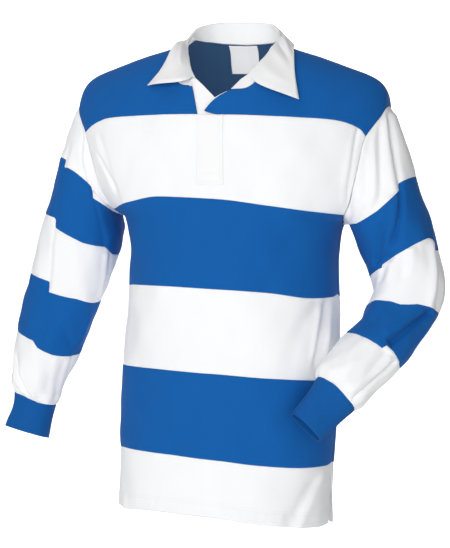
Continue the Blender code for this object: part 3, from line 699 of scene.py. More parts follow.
@dataclass
class Panel:
    """One piece of cloth: its outer face as a grid, and how thick it is."""

    name: str
    grid: Array
    normal: Array
    wall: float
    closed: bool = False

    @property
    def ring(self) -> Array:
        """The grid, with its first column again at the end where it is closed."""
        return np.concatenate([self.grid, self.grid[:, :1]], axis=1) if self.closed else self.grid

    def metres(self) -> Array:
        """Places on the cloth laid flat.

        Returns:
            Metres across from its middle line and down from its top, for each point of the ring.
        """
        ring = self.ring
        across = np.cumsum(np.linalg.norm(np.diff(ring, axis=1), axis=2), axis=1).mean(axis=0)
        across = np.concatenate([[0.0], across])
        down = np.linalg.norm(np.diff(ring, axis=0), axis=2).mean(axis=1)
        down = np.concatenate([[0.0], np.cumsum(down)])
        return np.stack(np.meshgrid(across - across[len(across) // 2], -down), -1)

    def flat_size(self) -> tuple[float, float, float]:
        """Size of the outer face laid flat.

        Returns:
            Mean width, length, and area.
        """
        place, ring = self.metres(), self.ring
        area = 0.0
        for a, b, c in ((ring[:-1, :-1], ring[1:, :-1], ring[:-1, 1:]),
                        (ring[1:, 1:], ring[1:, :-1], ring[:-1, 1:])):
            area += np.linalg.norm(np.cross(b - a, c - a), axis=2).sum() / 2
        return float(place[0, -1, 0] - place[0, 0, 0]), float(-place[-1, 0, 1]), float(area)

    def build(self, material: bpy.types.Material,
              inside_painted_light: bpy.types.Material | None = None) -> bpy.types.Object:
        """Make the closed cloth solid.

        Args:
            material: what the cloth wears.
            inside_painted_light: material of the inner faces, a greyer copy of the colour that paints
                in the light seen inside the shirt.

        Returns:
            The new object.
        """
        outer, inner = self.grid, self.grid - self.normal * self.wall
        rows, cols = outer.shape[:2]
        front = np.arange(rows * cols).reshape(rows, cols)
        if self.closed:
            front = np.concatenate([front, front[:, :1]], axis=1)
        back, place = front + rows * cols, self.metres()
        low, high = slice(None, -1), slice(1, None)
        loop = ((low, low), (high, low), (high, high), (low, high))
        quads = [[front[at] for at in loop], [back[at] for at in loop[::-1]]]
        spots = [[place[at] for at in loop], [place[at] for at in loop[::-1]]]
        edges = [((0, low), (0, high), (0, MM)), ((-1, high), (-1, low), (0, MM))]
        if not self.closed:
            edges += [((high, 0), (low, 0), (MM, 0)), ((low, -1), (high, -1), (MM, 0))]
        for one, two, shift in edges:
            quads.append([front[one], front[two], back[two], back[one]])
            spots.append([place[one], place[two], place[two] + shift, place[one] + shift])
        faces = np.concatenate([np.stack(block, -1).reshape(-1, 4) for block in quads])
        corners = np.concatenate([np.stack(block, -2).reshape(-1, 4, 2) for block in spots])
        face = np.cross(outer[1, 0] - outer[0, 0], outer[1, 1] - outer[0, 0])
        if np.dot(face, self.normal[0, 0] + self.normal[1, 0]) < 0:
            faces, corners = faces[:, ::-1], corners[:, ::-1]
        verts = np.concatenate([outer.reshape(-1, 3), inner.reshape(-1, 3)])
        layer, number = quads[0][0].size, np.arange(len(faces))
        item = mesh_object(self.name, verts, faces, corners, number >= 2 * layer, material)
        # the inner faces take the second material, a greyer copy of the colour that is painted light
        if inside_painted_light is not None:
            item.data.materials.append(inside_painted_light)
            wrong = (number >= layer) & (number < 2 * layer)
            item.data.polygons.foreach_set("material_index", wrong.astype(np.int32))
        return item

    def dress(self, wardrobe: Wardrobe, finish: str) -> None:
        """Build the panel, ride it, let it stand for its solid and declare its cut.

        Args:
            wardrobe: the finishes.
            finish: the name of its own.
        """
        # blue panels wear a greyer blue on their inner faces: painted light inside the shirt
        inside_painted_light = wardrobe["blue_jersey_reverse"] if finish == "blue_jersey" else None
        item = self.build(wardrobe[finish], inside_painted_light)
        item.name = "cloth_" + self.name
        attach(item, "root")
        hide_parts(self.name)
        width, length, area = self.flat_size()
        LOG.info("%s: %d faces, %.3f x %.3f m, %.4f m2",
                 item.name, len(item.data.polygons), width, length, area)


@dataclass
class Stitching:
    """Rows of single stitches lying on the cloth."""

    name: str
    length: float = 0.0026
    pitch: float = 0.0034
    radius: float = 0.00034
    sides: int = 6
    # along the stitch from its middle, size and rise, as parts of its length and radius
    rings: Table = ((-0.5, 0.25, -0.5), (-0.36, 0.85, 0.1), (0.0, 1.0, 0.35), (0.36, 0.85, 0.1),
                    (0.5, 0.25, -0.5))
    spot: tuple[float, float] = (4e-4, 3e-4)   # size of one face in the thread's own metres
    verts: list[Array] = field(default_factory=list)
    faces: list[Array] = field(default_factory=list)
    spots: list[Array] = field(default_factory=list)

    def one(self) -> tuple[Array, Array]:
        """Faces of a single stitch.

        Returns:
            Their point numbers, and places on the thread from the stitch's middle.
        """
        s, (long, tall) = self.sides, self.spot
        faces, spots = [], []
        for k in range(len(self.rings) - 1):
            for j in range(s):
                a, b = k * s + j, k * s + (j + 1) % s
                faces.append((a, b, b + s, a + s))
                u0, u1, v0, v1 = k * long, (k + 1) * long, j * tall, (j + 1) * tall
                spots.append(((u0, v0), (u0, v1), (u1, v1), (u1, v0)))
        end = (len(self.rings) - 1) * s
        faces += [(0, 5, 4, 3), (3, 2, 1, 0), (end, end + 1, end + 2, end + 3),
                  (end + 3, end + 4, end + 5, end)]
        spots += [((0.0, 0.0),) * 4] * 4
        return np.array(faces), np.array(spots)

    def run(self, line: Array, normal: Array) -> None:
        """Sew along a line.

        Args:
            line: points on the cloth's surface.
            normal: outward directions there.
        """
        way = way_along(line)
        middle = (np.arange(int(way[-1] // self.pitch)) + 0.5) * self.pitch
        shift, size, rise = (np.array(part) for part in zip(*self.rings))
        where = middle[:, None] + shift * self.length
        up = unit(at_way(way, normal, where))
        ahead = unit(at_way(way, line, where + 4e-4) - at_way(way, line, where - 4e-4))
        cross = unit(np.cross(ahead, up))
        turn = (np.arange(self.sides) * TURN / self.sides)[:, None]
        rim = np.cos(turn) * cross[:, :, None] + np.sin(turn) * up[:, :, None]
        centre = at_way(way, line, where) + up * self.radius * rise[:, None]
        points = centre[:, :, None] + rim * self.radius * size[:, None, None]
        faces, spots = self.one()
        points_each, base = len(self.rings) * self.sides, sum(len(part) for part in self.verts)
        self.verts.append(points.reshape(-1, 3))
        starts = base + points_each * np.arange(len(middle))
        self.faces.append((faces + starts[:, None, None]).reshape(-1, 4))
        sewn = np.arange(len(faces)) < len(faces) - 4     # all but the ends
        moved = middle[:, None, None, None] * sewn[:, None, None] * np.array((1.0, 0.0))
        self.spots.append((spots + moved).reshape(-1, 4, 2))

    def trace(self, panel: Panel, path: list[tuple[int, int]]) -> None:
        """Sew along a path of grid points, each a row and a column of the panel."""
        rows, cols = np.transpose(path)
        self.run(panel.grid[rows, cols], panel.normal[rows, cols])

    def build(self, material: bpy.types.Material) -> bpy.types.Object:
        """Make the stitches one object.

        Args:
            material: the thread.

        Returns:
            The new object.
        """
        verts, faces, spots = (np.concatenate(part) for part in (self.verts, self.faces, self.spots))
        flat = np.zeros(len(faces), bool)
        return mesh_object(self.name, verts, faces[:, ::-1], spots[:, ::-1], flat, material)


# ---------------------------------------------------------------- body form
@dataclass
class BodyForm:
    """The worn shape of the trunk and shoulders, from its measured sections."""

    section_power: float = 2.3
    dome_power: float = 2.2
    dome_height: float = 0.165
    armpit_z: float = -0.275
    vent_top_z: float = -0.655
    hem_z: float = -0.729
    # front and back: opening of the vent in radians, its flare, phase of the ripples
    vent_open: tuple[float, float] = (0.04, 0.032)
    vent_flare: tuple[float, float] = (0.0045, 0.0100)
    ripple_phase: tuple[float, float] = (0.0, 2.4)
    side_fade: float = 0.045      # part of the half width over which folds die out
    shoulder_calm: float = 0.09   # distance below the shoulder over which ripples grow
    # height z, half width, front depth, back depth
    sections: Table = (
        (-0.760, 0.1640, 0.116, 0.108), (-0.620, 0.1695, 0.120, 0.109),
        (-0.500, 0.1710, 0.124, 0.110), (-0.400, 0.1670, 0.126, 0.112),
        (-0.330, 0.1635, 0.128, 0.116), (-0.300, 0.1665, 0.128, 0.118),
        (-0.275, 0.1725, 0.128, 0.120), (-0.262, 0.1930, 0.128, 0.121),
        (-0.245, 0.2080, 0.128, 0.122), (-0.220, 0.2250, 0.127, 0.123),
        (-0.180, 0.2395, 0.124, 0.123), (-0.145, 0.2490, 0.122, 0.121),
        (-0.100, 0.2610, 0.118, 0.119), (0.040, 0.2680, 0.114, 0.115),
    )
    # armhole seam: height z, distance from the centre
    armhole: Table = (
        (-0.2750, 0.1725), (-0.2620, 0.1850), (-0.2450, 0.1945), (-0.2200, 0.2030),
        (-0.1900, 0.2110), (-0.1450, 0.2235), (-0.1250, 0.2350), (-0.1100, 0.2435),
        (-0.0930, 0.2495),
    )
    # sideways lean: height z, shift x
    lean: Table = (
        (-0.730, 0.0105), (-0.610, 0.0130), (-0.500, 0.0145), (-0.380, 0.0140),
        (-0.330, 0.0136), (-0.275, 0.0105), (-0.200, 0.0065), (-0.145, 0.0020), (-0.050, 0.0000),
        (-0.020, 0.0000), (0.002, 0.0020),
    )
    # shoulder line: distance from the centre, height z
    shoulder: Table = (
        (0.000, 0.0350), (0.046, 0.0265), (0.061, 0.0180), (0.071, 0.0100),
        (0.081, 0.0020), (0.092, -0.0035), (0.140, -0.0180), (0.190, -0.0355),
        (0.215, -0.0445), (0.230, -0.0522), (0.240, -0.0610), (0.2465, -0.0735),
        (0.2495, -0.0930), (0.262, -0.1300),
    )
    # hoop seams and hem: heights from the wearer's right side edge to the left one, at the
    # parts of the way out in seam_places
    seam_places: tuple[float, ...] = (-1.00, -0.88, -0.60, -0.30, 0.00, 0.30, 0.60, 0.88, 1.00)
    seams: Table = (
        (-0.1440, -0.1370, -0.1240, -0.1210, -0.1200, -0.1210, -0.1226, -0.1332, -0.1445),
        (-0.2620, -0.2612, -0.2540, -0.2448, -0.2468, -0.2543, -0.2600, -0.2622, -0.2625),
        (-0.3810, -0.3812, -0.3797, -0.3797, -0.3813, -0.3838, -0.3895, -0.3868, -0.3820),
        (-0.5010, -0.5030, -0.5050, -0.5055, -0.5075, -0.5105, -0.5120, -0.5130, -0.5138),
        (-0.6350, -0.6345, -0.6318, -0.6325, -0.6357, -0.6414, -0.6434, -0.6430, -0.6400),
        (-0.7240, -0.7250, -0.7252, -0.7215, -0.7228, -0.7290, -0.7340, -0.7360, -0.7335),
    )
    centre_seam_z: float = -0.1200
    armpit_centre_z: float = -0.2700
    # front, then back folds, in mm: start x z, end x z, width, height, skew, bow, two fades
    creases: tuple[Table, Table] = (
        (
            (-203, -138, -164, -252, 6, 1.8, 0.8, 0, 0.25, 0.3),
            (-199, -170, -161, -241, 3, -4, 0.9, 0, 0.3, 0.2),
            (-193, -140, -156, -262, 5, -1.6, 1.6, 0, 0.15, 0.15),
            (214.5, -130, 190, -262, 2.6, -3, 1, 0, 0.05, 0.1),
            (208, -140, 184, -262, 6, 1.6, 0.7, 0, 0.2, 0.2),
            (162.5, -386, 150, -505, 4.5, -6.2, 0.8, 2, 0.06, 0.2),
            (155, -392, 146, -490, 5.5, 3.4, 0.7, 0, 0.15, 0.25),
            (165.5, -392, 160, -500, 3, 4, 0.7, 0, 0.15, 0.25),
            (156, -388, 120, -458, 8.5, -4.2, 1.3, 0, 0.15, 0.4),
            (138, -440, 126, -500, 10, 2.2, 0.8),
            (168, -645, 138, -738, 5.5, 3.6, 0.8, 1, 0.12, 0.05),
            (160, -655, 124, -742, 8, -4.2, 1, 0, 0.2, 0.05),
            (-154, -680, -128, -742, 8, 4.2, 0.6, 0, 0.3, 0.1),
            (-140, -655, -150, -735, 10, -2.6, 1, 0, 0.4, 0.1),
            (-150, -400, -138, -500, 16, -2.2),
            (-30, -250, 60, -300, 30, -1.2),
            (20, -420, 50, -500, 22, -1.8),
            (-145, -290, -120, -360, 14, 2),
            (120, -270, 90, -350, 16, -1.8),
            (-100, -150, -50, -230, 24, -1),
        ),
        (
            (-175, -150, -145, -320, 14, 5.5, 0.6, 4),
            (-150, -170, -120, -330, 16, -3.5),
            (175, -150, 140, -310, 14, 5.2, 0.6, -4),
            (150, -160, 118, -300, 16, -3.5),
            (-120, -390, -142, -560, 15, 4.2, 0.6),
            (108, -410, 135, -580, 15, 4.2, 0.6),
            (60, -360, -40, -440, 22, -3),
            (-70, -350, 30, -400, 18, 3),
            (-30, -560, 20, -700, 20, 2.6),
            (90, -600, 120, -740, 14, 3.6, 0.6, 0, 0.3, 0.1),
            (-110, -620, -130, -740, 14, -3.4, 1, 0, 0.3, 0.1),
            (0, -30, 10, -180, 30, -2),
        ),
    )

    def half_width(self, z: Array) -> Array:
        """Half width of the section at height z."""
        return look_up(self.sections, 1, z)

    def depth(self, face: Face, z: Array) -> Array:
        """Depth of the section at height z, front or back."""
        return look_up(self.sections, 2 + face.row, z)

    def edge_x(self, z: Array) -> Array:
        """Distance of the armhole or side seam from the centre."""
        return np.where(z > self.armpit_z, look_up(self.armhole, 1, z), self.half_width(z))

    def shoulder_z(self, x: Array) -> Array:
        """Height of the shoulder line at x."""
        return look_up(self.shoulder, 1, np.abs(x))

    def lean_x(self, z: Array) -> Array:
        """Sideways lean at height z."""
        return look_up(self.lean, 1, z)

    def seam_z(self, index: int, s: Array) -> Array:
        """Height of a hoop seam at the part s of the way out."""
        return smooth(self.seam_places, self.seams[index], s)

    def dome(self, x: Array, z: Array) -> Array:
        """Part of the full depth left at this height below the shoulder line."""
        u = np.clip((self.shoulder_z(x) - z) / self.dome_height, 0.0, 1.0)
        return (1.0 - (1.0 - u) ** self.dome_power) ** (1.0 / self.dome_power)

    def round_part(self, x: Array, z: Array) -> Array:
        """Part of the full depth left this far from the centre."""
        r = np.clip(np.abs(x) / self.half_width(z), 0.0, 1.0)
        return (1.0 - r**self.section_power) ** (1.0 / self.section_power)

    def body_y(self, face: Face, x: Array, z: Array) -> Array:
        """Place of the smooth form in y."""
        return face.value * self.depth(face, z) * self.round_part(x, z) * self.dome(x, z)

    def vent_part(self, z: Array) -> Array:
        """Part of the way from the top of the vent to the hem."""
        return np.clip((self.vent_top_z - z) / (self.vent_top_z - self.hem_z), 0.0, 1.0)

    def leaned(self, points: Array) -> Array:
        """The points shifted sideways by the lean of the body."""
        shift = self.lean_x(points[..., 2])
        return points + np.stack([shift, 0 * shift, 0 * shift], -1)

    def surface(self, face: Face, x: Array, z: Array, raised: Array | float = 0.0) -> Array:
        """Points of the cloth's outer face.

        Args:
            face: front or back.
            x: across, before the lean.
            z: height.
            raised: what else lifts the cloth there, such as seam puckers.

        Returns:
            Points with the folds raised.
        """
        y = self.body_y(face, x, z)
        wide, deep = self.half_width(z), self.depth(face, z)
        out = unit(np.stack([x / wide**2, y / deep**2, 0.0 * z], -1))
        fade = ease((1.0 - np.abs(x) / self.edge_x(z)) / self.side_fade)
        calm = ease((self.shoulder_z(x) - z) / self.shoulder_calm)
        lift = sum(Crease(*row).relief(x, z) for row in self.creases[face.row])
        lift = lift + ripple(x, z, self.ripple_phase[face.row]) * calm
        return self.leaned(np.stack([x, y, z], -1) + out * (fade * lift + raised)[..., None])

    def section_x(self, s: Array, z: Array, face: Face) -> Array:
        """Place across at a part of the way out.

        Args:
            s: part of the way from the centre to the side edge.
            z: height.
            face: front or back.

        Returns:
            x before the lean.
        """
        power, wide = self.section_power / 2, self.half_width(z)
        ratio = np.clip(self.edge_x(z) / wide, 0.0, 1.0) ** power
        reach = np.arcsin(np.clip(ratio, 0.0, 1.0)) - self.vent_open[face.row] * self.vent_part(z)
        return wide * np.sign(s) * np.sin(np.abs(s) * reach) ** (1 / power)

    def flare(self, face: Face, s: Array, z: Array) -> Array:
        """How far the side of the panel stands out at the vent."""
        return self.vent_flare[face.row] * self.vent_part(z) * np.sign(s) * np.abs(s) ** 8

    def level(self, points: Array) -> Array:
        """Shape function of the shoulders.

        Args:
            points: anywhere near them.

        Returns:
            0 on the surface, more outside it.
        """
        y, z = points[..., 1], points[..., 2]
        x = points[..., 0] - self.lean_x(z)
        full = np.where(y < 0, self.depth(Face.FRONT, z), self.depth(Face.BACK, z))
        part = np.abs(y) / (full * self.round_part(x, z)).clip(1e-6)
        left = np.clip(1.0 - (self.shoulder_z(x) - z) / self.dome_height, 0.0, 2.0)
        return part**self.dome_power + left**self.dome_power - 1.0

    def off_shoulder(self, points: Array, reach: float = 2e-4) -> tuple[Array, Array]:
        """Where points are from the shoulder surface.

        Args:
            points: anywhere near it.
            reach: step of the measured slope.

        Returns:
            Signed distance, and the outward direction.
        """
        slope = np.stack([(self.level(points + d) - self.level(points - d)) / (2 * reach)
                          for d in np.eye(3) * reach], -1)
        size = np.linalg.norm(slope, axis=-1, keepdims=True).clip(1e-6)
        return self.level(points) / size[..., 0], slope / size

    def cleared(self, points: Array, distance: float) -> Array:
        """Points kept away from the shoulder.

        Args:
            points: near it.
            distance: the least distance.

        Returns:
            The points, moved out where they are nearer.
        """
        for _ in range(4):
            away, normal = self.off_shoulder(points)
            points = points + normal * np.clip(distance - away, 0.0, None)[..., None]
        return points


@dataclass
class BodyPanels:
    """Yokes and hoops of the trunk, front and back."""

    form: BodyForm
    wall: float = 0.0015
    step: int = 7                 # fine columns for each of the pattern's columns
    pattern_cols: int = 20
    shoulder_cols: int = 6
    neck_cols: int = 5
    back_neck_cols: int = 8
    tip_x: float = 0.2495
    shoulder_spread: float = 1.7
    neck_x: float = 0.082
    # rows of a hoop, of the hem hoop, of the waist hoop above and below the armpit and of a
    # yoke, each with the height that it stands for
    hoop_rows: tuple[int, float] = (36, 0.125)
    hem_rows: tuple[int, float] = (24, 0.09)
    armpit_rows: tuple[tuple[int, float], ...] = ((5, 0.02), (34, 0.12))
    yoke_rows: tuple[int, float] = (40, 0.14)
    hem_turn: float = 0.021
    hem_line: tuple[float, float] = (0.0005, 0.0020)   # depth and width of its sewn line
    hem_gather: float = 1.6       # how much stronger the gathers are in the turned hem
    # spacing of a yoke's rows: power, what is added where the top lies on the shoulder ridge,
    # and how near to it
    row_power: tuple[float, float, float] = (1.1, 0.65, 0.035)
    half_front: float = 0.26      # length of the front from its middle to the side seam
    # the yoke seam between these columns of the pattern follows the placket: x of the three
    # columns in between, on each front, the free edge first on the left and last on the right
    broken: tuple[int, int] = (8, 12)
    right_inner: tuple[float, ...] = (-0.050, -0.036, -0.0215)
    left_inner: tuple[float, ...] = (-0.0110, 0.016, 0.042)
    # the open corner: how far it rises, hangs forward and lies over, each with the power by
    # which that dies out
    corner_rise: tuple[float, float] = (0.0050, 2)
    corner_drop: tuple[float, float] = (0.0055, 1.9)
    corner_lap: tuple[float, float] = (0.0040, 1.42)
    # neckline: distance from the centre, height z
    front_neck_left: Table = ((0.0820, 0.0012), (0.0810, -0.0300), (0.0710, -0.0600),
                              (0.0540, -0.0785), (0.0290, -0.0820))
    front_neck_right: Table = ((0.0820, 0.0012), (0.0770, -0.0300), (0.0690, -0.0590),
                               (0.0540, -0.0735), (0.0330, -0.0770))
    back_neck: Table = ((0.0820, 0.0012), (0.0730, 0.0088), (0.0590, 0.0112),
                        (0.0320, 0.0108), (0.0000, 0.0100))
    hoops: tuple[tuple[str, str], ...] = (
        ("chest_hoop", "white_jersey"), ("waist_hoop", "blue_jersey"),
        ("belly_hoop", "white_jersey"), ("hip_hoop", "blue_jersey"), ("hem_hoop", "white_jersey"),
    )
    grids: dict[str, Array] = field(default_factory=dict)
    normals: dict[str, Array] = field(default_factory=dict)

    def columns(self) -> Array:
        """Parts of the way across for a whole panel, -1 to 1, dense at the side seams."""
        half = spread(self.pattern_cols * self.step // 2, self.half_front, first=False)
        return np.concatenate([-half[::-1], half[1:]])

    def hoop(self, face: Face, index: int) -> Array:
        """Outer face of the hoop between two seams.

        Args:
            face: front or back.
            index: its place from the top.

        Returns:
            The grid, top row first.
        """
        form, s = self.form, self.columns()[None, :]
        top, low = form.seam_z(index, s), form.seam_z(index + 1, s)
        hem = index == len(self.hoops) - 1
        if index == 1:      # the hoop with the armpit: rows above it, then rows below
            over = spread(*self.armpit_rows[0], last=False)
            under = spread(*self.armpit_rows[1], first=False)
            t = np.concatenate([over, 1 + under[1:]])[:, None]
            armpit = form.armpit_centre_z - (form.armpit_centre_z - form.armpit_z) * np.abs(s) ** 3
            z = np.where(t <= 1.0, top * (1 - t) + armpit * t, armpit * (2 - t) + low * (t - 1))
        else:
            t = (spread(*self.hem_rows, last=False) if hem else spread(*self.hoop_rows))[:, None]
            z = top * (1 - t) + low * t
        x = form.section_x(s, z, face)
        above, below, seed = top - z, z - low, index * 1.3 + face.value
        raised = seam_relief(x, above, seed)
        if hem:
            raised = raised - self.hem_line[0] * bell(below - self.hem_turn, self.hem_line[1])
            raised = raised + self.hem_gather * pucker(
                x + 0.004, np.abs(below - self.hem_turn * 0.6), seed)
        else:
            raised = raised + seam_relief(x, below, seed + 1.3)
        raised = raised + seam_roll((1 - np.abs(s)) * self.half_front) * (z > form.vent_top_z)
        points = form.surface(face, x, z, raised)
        points[..., 0] += form.flare(face, s, z)
        return points

    def yoke(self, face: Face, low: tuple[Array, Array], top: tuple[Array, Array],
             ends: tuple[int, ...], drop: Array | float = 0.0) -> Array:
        """Outer face of a yoke panel.

        Args:
            face: front or back.
            low: x and z of the columns along the yoke seam.
            top: x and z of the columns along the shoulder and neck.
            ends: which end columns lie on an armhole, 0 the wearer's right and -1 the left.
            drop: how far each column's cloth hangs forward, for the open corner.

        Returns:
            The grid, top row first.
        """
        (low_x, low_z), (top_x, top_z) = low, top
        part = spread(*self.yoke_rows)[:, None]
        power, extra, near = self.row_power
        power = power + extra * bell(self.form.body_y(face, top_x, top_z), near)
        z = top_z + (low_z - top_z) * part**power
        x = top_x + (low_x - top_x) * part
        cols = np.linspace(0.0, 1.0, len(low_x))
        for end in ends:
            fix = (1 if end else -1) * self.form.edge_x(z[:, end]) - x[:, end]
            x = x + fix[:, None] * (cols if end else 1.0 - cols) ** 3
        raised = seam_relief(x, z - low_z, face.value) + seam_roll(np.abs(z - z[:1]) * 1.6)
        points = self.form.surface(face, x, z, raised)
        points[..., 1] -= drop * np.sin(part * math.pi * 0.85) ** 1.2
        return points

    def seam_columns(self, face: Face, places: Array) -> tuple[Array, Array]:
        """Places on the yoke seam.

        Args:
            face: front or back.
            places: counted in the pattern's columns.

        Returns:
            x and z.
        """
        s = places / (self.pattern_cols / 2) - 1.0
        z = self.form.seam_z(0, s)
        return self.form.section_x(s, z, face), z

    def front_low(self, places: Array, inner: tuple[float, ...]) -> tuple[Array, Array]:
        """Yoke seam of one front, which is level and closer spaced beside the placket.

        Args:
            places: of the fine columns, counted in the pattern's columns.
            inner: x of the three pattern columns beside the placket.

        Returns:
            x and z of the fine columns.
        """
        x, z = self.seam_columns(Face.FRONT, places)
        first, last = self.broken
        ends = self.seam_columns(Face.FRONT, np.array(self.broken))[0]
        own = np.interp(places, range(first, last + 1), (ends[0], *inner, ends[1]))
        inside = (places > first) & (places < last)
        return np.where(inside, own, x), np.where(inside, self.form.centre_seam_z, z)

    def top(self, neck: Table, cols: int) -> tuple[Array, Array]:
        """Upper edge of half a yoke, from the armhole along the shoulder and the neck.

        Args:
            neck: the neckline.
            cols: how many of the pattern's columns lie on it.

        Returns:
            Distances from the centre, and z.
        """
        part = np.linspace(0.0, 1.0, self.shoulder_cols * self.step + 1)
        over = self.tip_x + (self.neck_x - self.tip_x) * part**self.shoulder_spread
        line = resample(neck, cols * self.step)[1:]
        return (np.concatenate([over, line[:, 0]]),
                np.concatenate([self.form.shoulder_z(over), line[:, 1]]))

    def front_right_yoke(self) -> Array:
        """The wearer's right front yoke.

        Returns:
            Its grid, armhole column first.
        """
        x, z = self.top(self.front_neck_right, self.neck_cols)
        low = self.front_low(np.arange(len(x)) / self.step, self.right_inner)
        return self.yoke(Face.FRONT, low, (-x, z), (0,))

    def front_left_yoke(self) -> Array:
        """The wearer's left front yoke.

        Returns:
            Its grid, the column of the open corner first.
        """
        x, z = self.top(self.front_neck_left, self.neck_cols)
        whole = np.arange(len(x)) / self.step
        low_x, low_z = self.front_low(whole + self.broken[0] + 1, self.left_inner)
        (rise, power), (drop, drop_power), (lap, lap_power) = (
            self.corner_rise, self.corner_drop, self.corner_lap)
        low_z = low_z + rise * np.clip(1 - whole, 0, 1) ** power
        free = np.clip(1 - whole / 2, 0, 1)
        grid = self.yoke(Face.FRONT, (low_x, low_z), (x[::-1], z[::-1]), (-1,),
                         drop * free**drop_power)
        part = spread(*self.yoke_rows)[:, None]
        grid[..., 0] -= lap * np.sin(part * math.pi) * free**lap_power
        return grid

    def back_yoke(self) -> Array:
        """The back yoke.

        Returns:
            Its grid, the wearer's right armhole first.
        """
        x, z = self.top(self.back_neck, self.back_neck_cols // 2)
        x, z = np.concatenate([-x, x[-2::-1]]), np.concatenate([z, z[-2::-1]])
        low = self.seam_columns(Face.BACK, np.arange(len(x)) / self.step)
        return self.yoke(Face.BACK, low, (x, z), (0, -1))

    def lay_out(self) -> None:
        """Work out the grid and normals of every body panel."""
        for name, grid in (("front_right_yoke", self.front_right_yoke()),
                           ("front_left_yoke", self.front_left_yoke()),
                           ("back_yoke", self.back_yoke())):
            self.grids[name], self.normals[name] = grid, self.form.off_shoulder(grid)[1]
        for index, (name, _) in enumerate(self.hoops):
            for face in Face:
                grid = self.hoop(face, index)
                middle = grid.mean(axis=(0, 1)) * (0, 0, 1)
                key = f"{face.name.lower()}_{name}"
                self.grids[key], self.normals[key] = grid, facing_out(grid_normals(grid), grid, middle)

    def build(self, wardrobe: Wardrobe) -> None:
        """Make the panels.

        Args:
            wardrobe: the finishes.
        """
        colours = dict(self.hoops)
        for name, grid in self.grids.items():
            finish = colours.get(name.split("_", 1)[1], "blue_jersey")
            Panel(name, grid, self.normals[name], self.wall).dress(wardrobe, finish)


